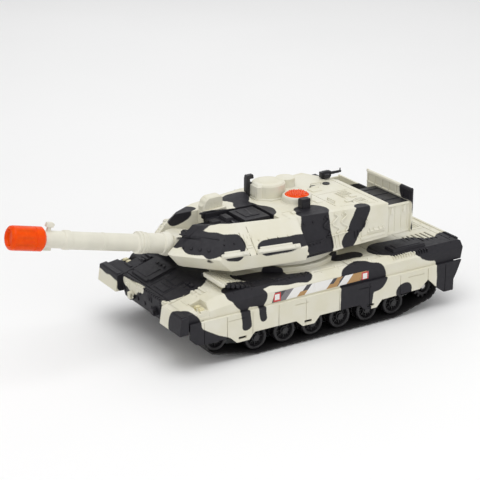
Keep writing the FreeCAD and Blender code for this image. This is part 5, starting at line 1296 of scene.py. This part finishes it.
class TANK_OT_tracks(bpy.types.Operator):
    """Rubber tracks: a smooth inner belt carrying links with lug bars and end connectors"""
    bl_idname = "tank.tracks"
    bl_label = "Tracks"

    def execute(self, context):
        rubber = finish("track_rubber")
        play, belt = 0.45, 1.3
        for side, _ in SIDES:
            low, high = node_box(side + "_track")
            middle = (low.y + high.y) / 2
            width = high.y - low.y
            depth = low.z + 2.5
            inner = hull_outline(wheel_circles(side, play), 2.0)[0]
            count = len(inner)
            bm = bmesh.new()

            def build(part):
                rings = []
                for index, (x, z) in enumerate(inner):
                    before, after = inner[index - 1], inner[(index + 1) % count]
                    run = Vector((after[0] - before[0], 0, after[1] - before[1])).normalized()
                    out = Vector((run.z, 0, -run.x))
                    spot = Vector((x, 0, z))
                    ring = []
                    for push, share in ((0, -0.46), (0, 0.46), (belt, 0.46), (belt, -0.46)):
                        aside = Vector((0, middle + share * width, 0))
                        ring.append(part.verts.new(spot + out * push + aside))
                    rings.append(ring)
                for index in range(count):
                    one, two = rings[index], rings[(index + 1) % count]
                    for corner in range(4):
                        after = (corner + 1) % 4
                        part.faces.new((one[corner], one[after], two[after], two[corner]))
            island(bm, build, 0)
            path, total = hull_outline(wheel_circles(side, play + belt), 1.5)
            links = round(total / (sizes().link_pitch / MM))
            points = [(x, middle, z) for x, z in path]
            edges = [(index, (index + 1) % len(points)) for index in range(len(points))]
            merge(bm, grown("links", points, rubber, {
                "Count": links, "Pitch": total / links * MM, "Width": width * MM,
                "Depth": (depth - 0.05) * MM}, edges=edges), 0.0)
            piece(side + "_track_links", bm, "hull", rubber, (side + "_track",))
        return {"FINISHED"}


def wheel_mesh(radius, half, dish, bolts, sign):
    """Dished wheel about the Y axis, its face outwards, with a ribbed tyre and hub, and its bolts' places."""
    face = Matrix.Rotation(math.pi / 2 * sign, 4, "Z")
    bm = bmesh.new()
    lathe(bm, (
        (-half, 1.56), (-half, radius - 0.8), (-half + 0.6, radius), (-0.6, radius), (-0.4, radius - 0.5),
        (0.4, radius - 0.5), (0.6, radius), (half - 1.2, radius), (half - 0.5, radius - 0.6),
        (half - 0.4, dish + 1.2), (half - 0.7, dish + 0.9), (half - 0.7, dish + 0.4),
        (half - 1.3, dish + 0.1), (half - 3.6, dish - 1.1), (half - 3.8, 4.2), (half - 3.2, 3.6),
        (half - 1.2, 3.3), (half - 1.0, 2.9),
        (half - 1.0, 1.56)), face, 40)
    for index in range(bolts):
        turn = face @ Matrix.Rotation(2 * math.pi * index / bolts, 4, "X")
        block(bm, (half - 4.2, half - 2.2), (-0.35, 0.35), (3.4, dish - 0.4), turn, 0, 0.12)
    facing = face.to_3x3() @ Vector((1, 0, 0))
    places = []
    for index in range(bolts):
        turn = face @ Matrix.Rotation(2 * math.pi * (index + 0.5) / bolts, 4, "X")
        places.append((turn @ Vector((half - 3.4, 0, 5.3)), facing))
    return bm, places


class TANK_OT_wheels(bpy.types.Operator):
    """Road wheels, idlers and toothed drive sprockets, one piece for each turning body"""
    bl_idname = "tank.wheels"
    bl_label = "Wheels"

    def execute(self, context):
        black = finish("black_plastic")
        for side, sign in SIDES:
            names = [f"{side}_wheel_{index}" for index in range(1, 7)] + [side + "_idler", side + "_sprocket"]
            for name in names:
                low, high = node_box(name)
                middle = (low + high) / 2
                radius = (high.z - low.z) / 2
                half = (high.y - low.y) / 2
                sprocket = name.endswith("sprocket")
                rim = radius - 1.8 if sprocket else radius
                bm, places = wheel_mesh(rim - SKIN, half - SKIN, rim - 2.8, sizes().wheel_bolts, sign)
                studs(bm, places, black, 0.62, 0.9, 6)
                if sprocket:
                    for index in range(SPROCKET_TEETH):
                        turn = Matrix.Rotation(2 * math.pi * index / SPROCKET_TEETH, 4, "Y")
                        tooth = ((-1.2, rim - 1), (1.2, rim - 1), (0.8, radius - SKIN), (-0.8, radius - SKIN))
                        sheet_prism(bm, tooth, -half + 1, half - 1, "Y", turn, 0.15)
                bmesh.ops.translate(bm, vec=middle, verts=bm.verts)
                piece(name + "_dished", bm, name, black, (name,))
        return {"FINISHED"}


class TANK_OT_stickers(bpy.types.Operator):
    """Printed stickers on both sides of the hull"""
    bl_idname = "tank.stickers"
    bl_label = "Side stickers"

    def execute(self, context):
        bm = bmesh.new()
        sheet_prism(bm, ((-46, 41.3), (37, 40.1), (45, 40.1), (42.2, 48.2), (-46, 48.2)),
                    64.48, 64.7, "Y", None, 0.05)
        mirrored(bm)
        piece("side_print", bm, "hull", finish("sticker_print"), ("side_stickers",))
        return {"FINISHED"}


class TANK_OT_nose_fittings(bpy.types.Operator):
    """Headlamps and towing lugs"""
    bl_idname = "tank.nose_fittings"
    bl_label = "Lamps and tow lugs"

    def execute(self, context):
        paint = finish("hull_camouflage_and_shadow")
        bm = rounded_copy("headlamps")
        piece("lamp_housings", bm, "hull", paint, ("headlamps",))
        bm = rounded_copy("tow_hooks")
        for y in (19, -19):
            tube(bm, [(121.9, y - 3.2, 33.4), (122.6, y - 3.2, 31.9), (123.2, y - 1.5, 31.2),
                      (123.2, y + 1.5, 31.2), (122.6, y + 3.2, 31.9), (121.9, y + 3.2, 33.4)], 0.6)
        piece("tow_lugs", bm, "hull", paint, ("tow_hooks",))
        return {"FINISHED"}


class TANK_OT_screws(bpy.types.Operator):
    """Steel case screws"""
    bl_idname = "tank.screws"
    bl_label = "Case screws"

    def execute(self, context):
        bm = node_copy("case_screws")
        piece("case_screws_steel", bm, "hull", finish("steel"), ("case_screws",))
        return {"FINISHED"}


INNER_FINISHES = {
    "lower_hull": "black_plastic", "battery_door": "black_plastic", "switch_case": "black_plastic",
    "switch_slider": "black_plastic", "turret_base": "cream_plastic", "battery_pack": "battery_film",
    "circuit_board": "board_green", "speaker": "grey_plastic", "gearbox_cases": "grey_plastic",
    "drive_motors": "steel", "turret_motor": "steel", "wheel_axles": "black_plastic", "trunnion_pin": "steel",
    "turret_gear": "white_nylon", "turret_pinion": "white_nylon", "lens_led": "lamp_epoxy",
    "muzzle_led": "lamp_epoxy",
}


class TANK_OT_inner_finishes(bpy.types.Operator):
    """Finishes for the chassis and the works inside it"""
    bl_idname = "tank.inner_finishes"
    bl_label = "Inner finishes"

    def execute(self, context):
        for name, thing in frame["nodes"].items():
            if thing.hide_render:
                continue
            wanted = INNER_FINISHES.get(name, "white_nylon")
            for place in thing.material_slots:
                place.material = finish(wanted)
        return {"FINISHED"}


AIR_LIGHT = 0.6
LAMPS = (   # name, place in metres, width in metres, watts
    ("key", (0.1, 0.3, 1.4), 1.2, 10), ("fill", (-0.5, 1.5, 0.6), 1.0, 2.4),
    ("front", (1.5, 0.5, 0.5), 0.8, 2), ("back", (-0.6, -1.0, 0.9), 1.0, 2.4),
)
CAMERA_PLACE = (0.575945, 0.951856, 0.486962)
CAMERA_TURN = (math.radians(69.48), 0, math.radians(148.383))
CAMERA_LENS = 112.96
CAMERA_FILM = 36


class TANK_OT_stage(bpy.types.Operator):
    """Pale floor, soft lights and the camera"""
    bl_idname = "tank.stage"
    bl_label = "Stage"

    def execute(self, context):
        scene = context.scene
        bm = bmesh.new()
        bmesh.ops.create_grid(bm, x_segments=1, y_segments=1, size=FLOOR_HALF)
        floor = mesh_object("studio_floor", bm)
        floor.data.materials.append(finish("pale_floor"))
        world = bpy.data.worlds.new("studio_air")
        world.use_nodes = True
        air = world.node_tree.nodes["Background"]
        air.inputs["Color"].default_value = (1, 1, 1, 1)
        air.inputs["Strength"].default_value = AIR_LIGHT
        scene.world = world
        scene.view_settings.view_transform = "Standard"
        for name, spot, size, power in LAMPS:
            lamp = bpy.data.lights.new(name, "AREA")
            lamp.size = size
            lamp.energy = power
            thing = bpy.data.objects.new(name, lamp)
            thing.location = spot
            thing.rotation_euler = (-Vector(spot)).to_track_quat("-Z", "Y").to_euler()
            scene.collection.objects.link(thing)
        camera = bpy.data.cameras.new("camera")
        camera.sensor_width = CAMERA_FILM
        camera.lens = CAMERA_LENS
        camera.clip_start = 0.05
        thing = bpy.data.objects.new("camera", camera)
        thing.location = CAMERA_PLACE
        thing.rotation_euler = CAMERA_TURN
        scene.collection.objects.link(thing)
        scene.camera = thing
        return {"FINISHED"}


# ---------------------------------------------------------------- add-on

class TankSizes(bpy.types.PropertyGroup):
    edge_round: FloatProperty(name="Edge rounding", description="Radius of the moulded shells' edges",
                              default=0.35 * MM, min=0.0, unit="LENGTH")
    paint_softness: FloatProperty(name="Paint softness", description="Half the width of a patch's soft edge",
                                  default=0.3 * MM, min=0.0, unit="LENGTH")
    rivet_radius: FloatProperty(name="Rivet radius", description="Radius of the moulded rivets",
                                default=0.6 * MM, min=0.0, unit="LENGTH")
    link_pitch: FloatProperty(name="Link pitch", description="Length of one track link",
                              default=6.2 * MM, min=0.001, unit="LENGTH")
    wheel_bolts: IntProperty(name="Wheel bolts", description="Bolts and ribs on each wheel", default=8, min=3)


class TankColours(bpy.types.PropertyGroup):
    cream: FloatVectorProperty(name="Cream", description="Bare moulding", subtype="COLOR",
                               default=(0.725, 0.703, 0.6), min=0.0, max=1.0)
    charcoal: FloatVectorProperty(name="Charcoal", description="Camouflage patches and dark fittings",
                                  subtype="COLOR", default=(0.0135, 0.0127, 0.0165), min=0.0, max=1.0)
    black: FloatVectorProperty(name="Black", description="Wheels and chassis", subtype="COLOR",
                               default=(0.012, 0.011, 0.013), min=0.0, max=1.0)
    rubber: FloatVectorProperty(name="Rubber", description="Tracks", subtype="COLOR",
                                default=(0.010, 0.009, 0.010), min=0.0, max=1.0)
    orange: FloatVectorProperty(name="Orange", description="Muzzle cap and roof lens", subtype="COLOR",
                                default=(0.86, 0.085, 0.001), min=0.0, max=1.0)


STEPS = (
    TANK_OT_hull_shell, TANK_OT_deck_details, TANK_OT_skirts, TANK_OT_turret_shell, TANK_OT_turret_details,
    TANK_OT_roof_fittings, TANK_OT_stowage, TANK_OT_gun, TANK_OT_machine_gun, TANK_OT_tracks, TANK_OT_wheels,
    TANK_OT_stickers, TANK_OT_nose_fittings, TANK_OT_screws, TANK_OT_inner_finishes, TANK_OT_stage,
)


class TANK_PT_builder(bpy.types.Panel):
    """Sizes, colours and building steps of the toy tank"""
    bl_idname = "TANK_PT_builder"
    bl_label = "Toy battle tank"
    bl_space_type = "VIEW_3D"
    bl_region_type = "UI"
    bl_category = "Tank"

    def draw(self, context):
        for group in (sizes(), colours()):
            column = self.layout.column(align=True)
            for name in group.bl_rna.properties.keys():
                if name not in ("rna_type", "name"):
                    column.prop(group, name)
        for step in STEPS:
            self.layout.operator(step.bl_idname)


CLASSES = (TankSizes, TankColours, *STEPS, TANK_PT_builder)


def register():
    for kind in CLASSES:
        bpy.utils.register_class(kind)
    bpy.types.Scene.tank_sizes = PointerProperty(type=TankSizes)
    bpy.types.Scene.tank_colours = PointerProperty(type=TankColours)


def unregister():
    del bpy.types.Scene.tank_colours
    del bpy.types.Scene.tank_sizes
    for kind in reversed(CLASSES):
        bpy.utils.unregister_class(kind)


def main():
    register()
    for step in STEPS:
        family, action = step.bl_idname.split(".")
        getattr(getattr(bpy.ops, family), action)()


if __name__ == "__main__":
    main()
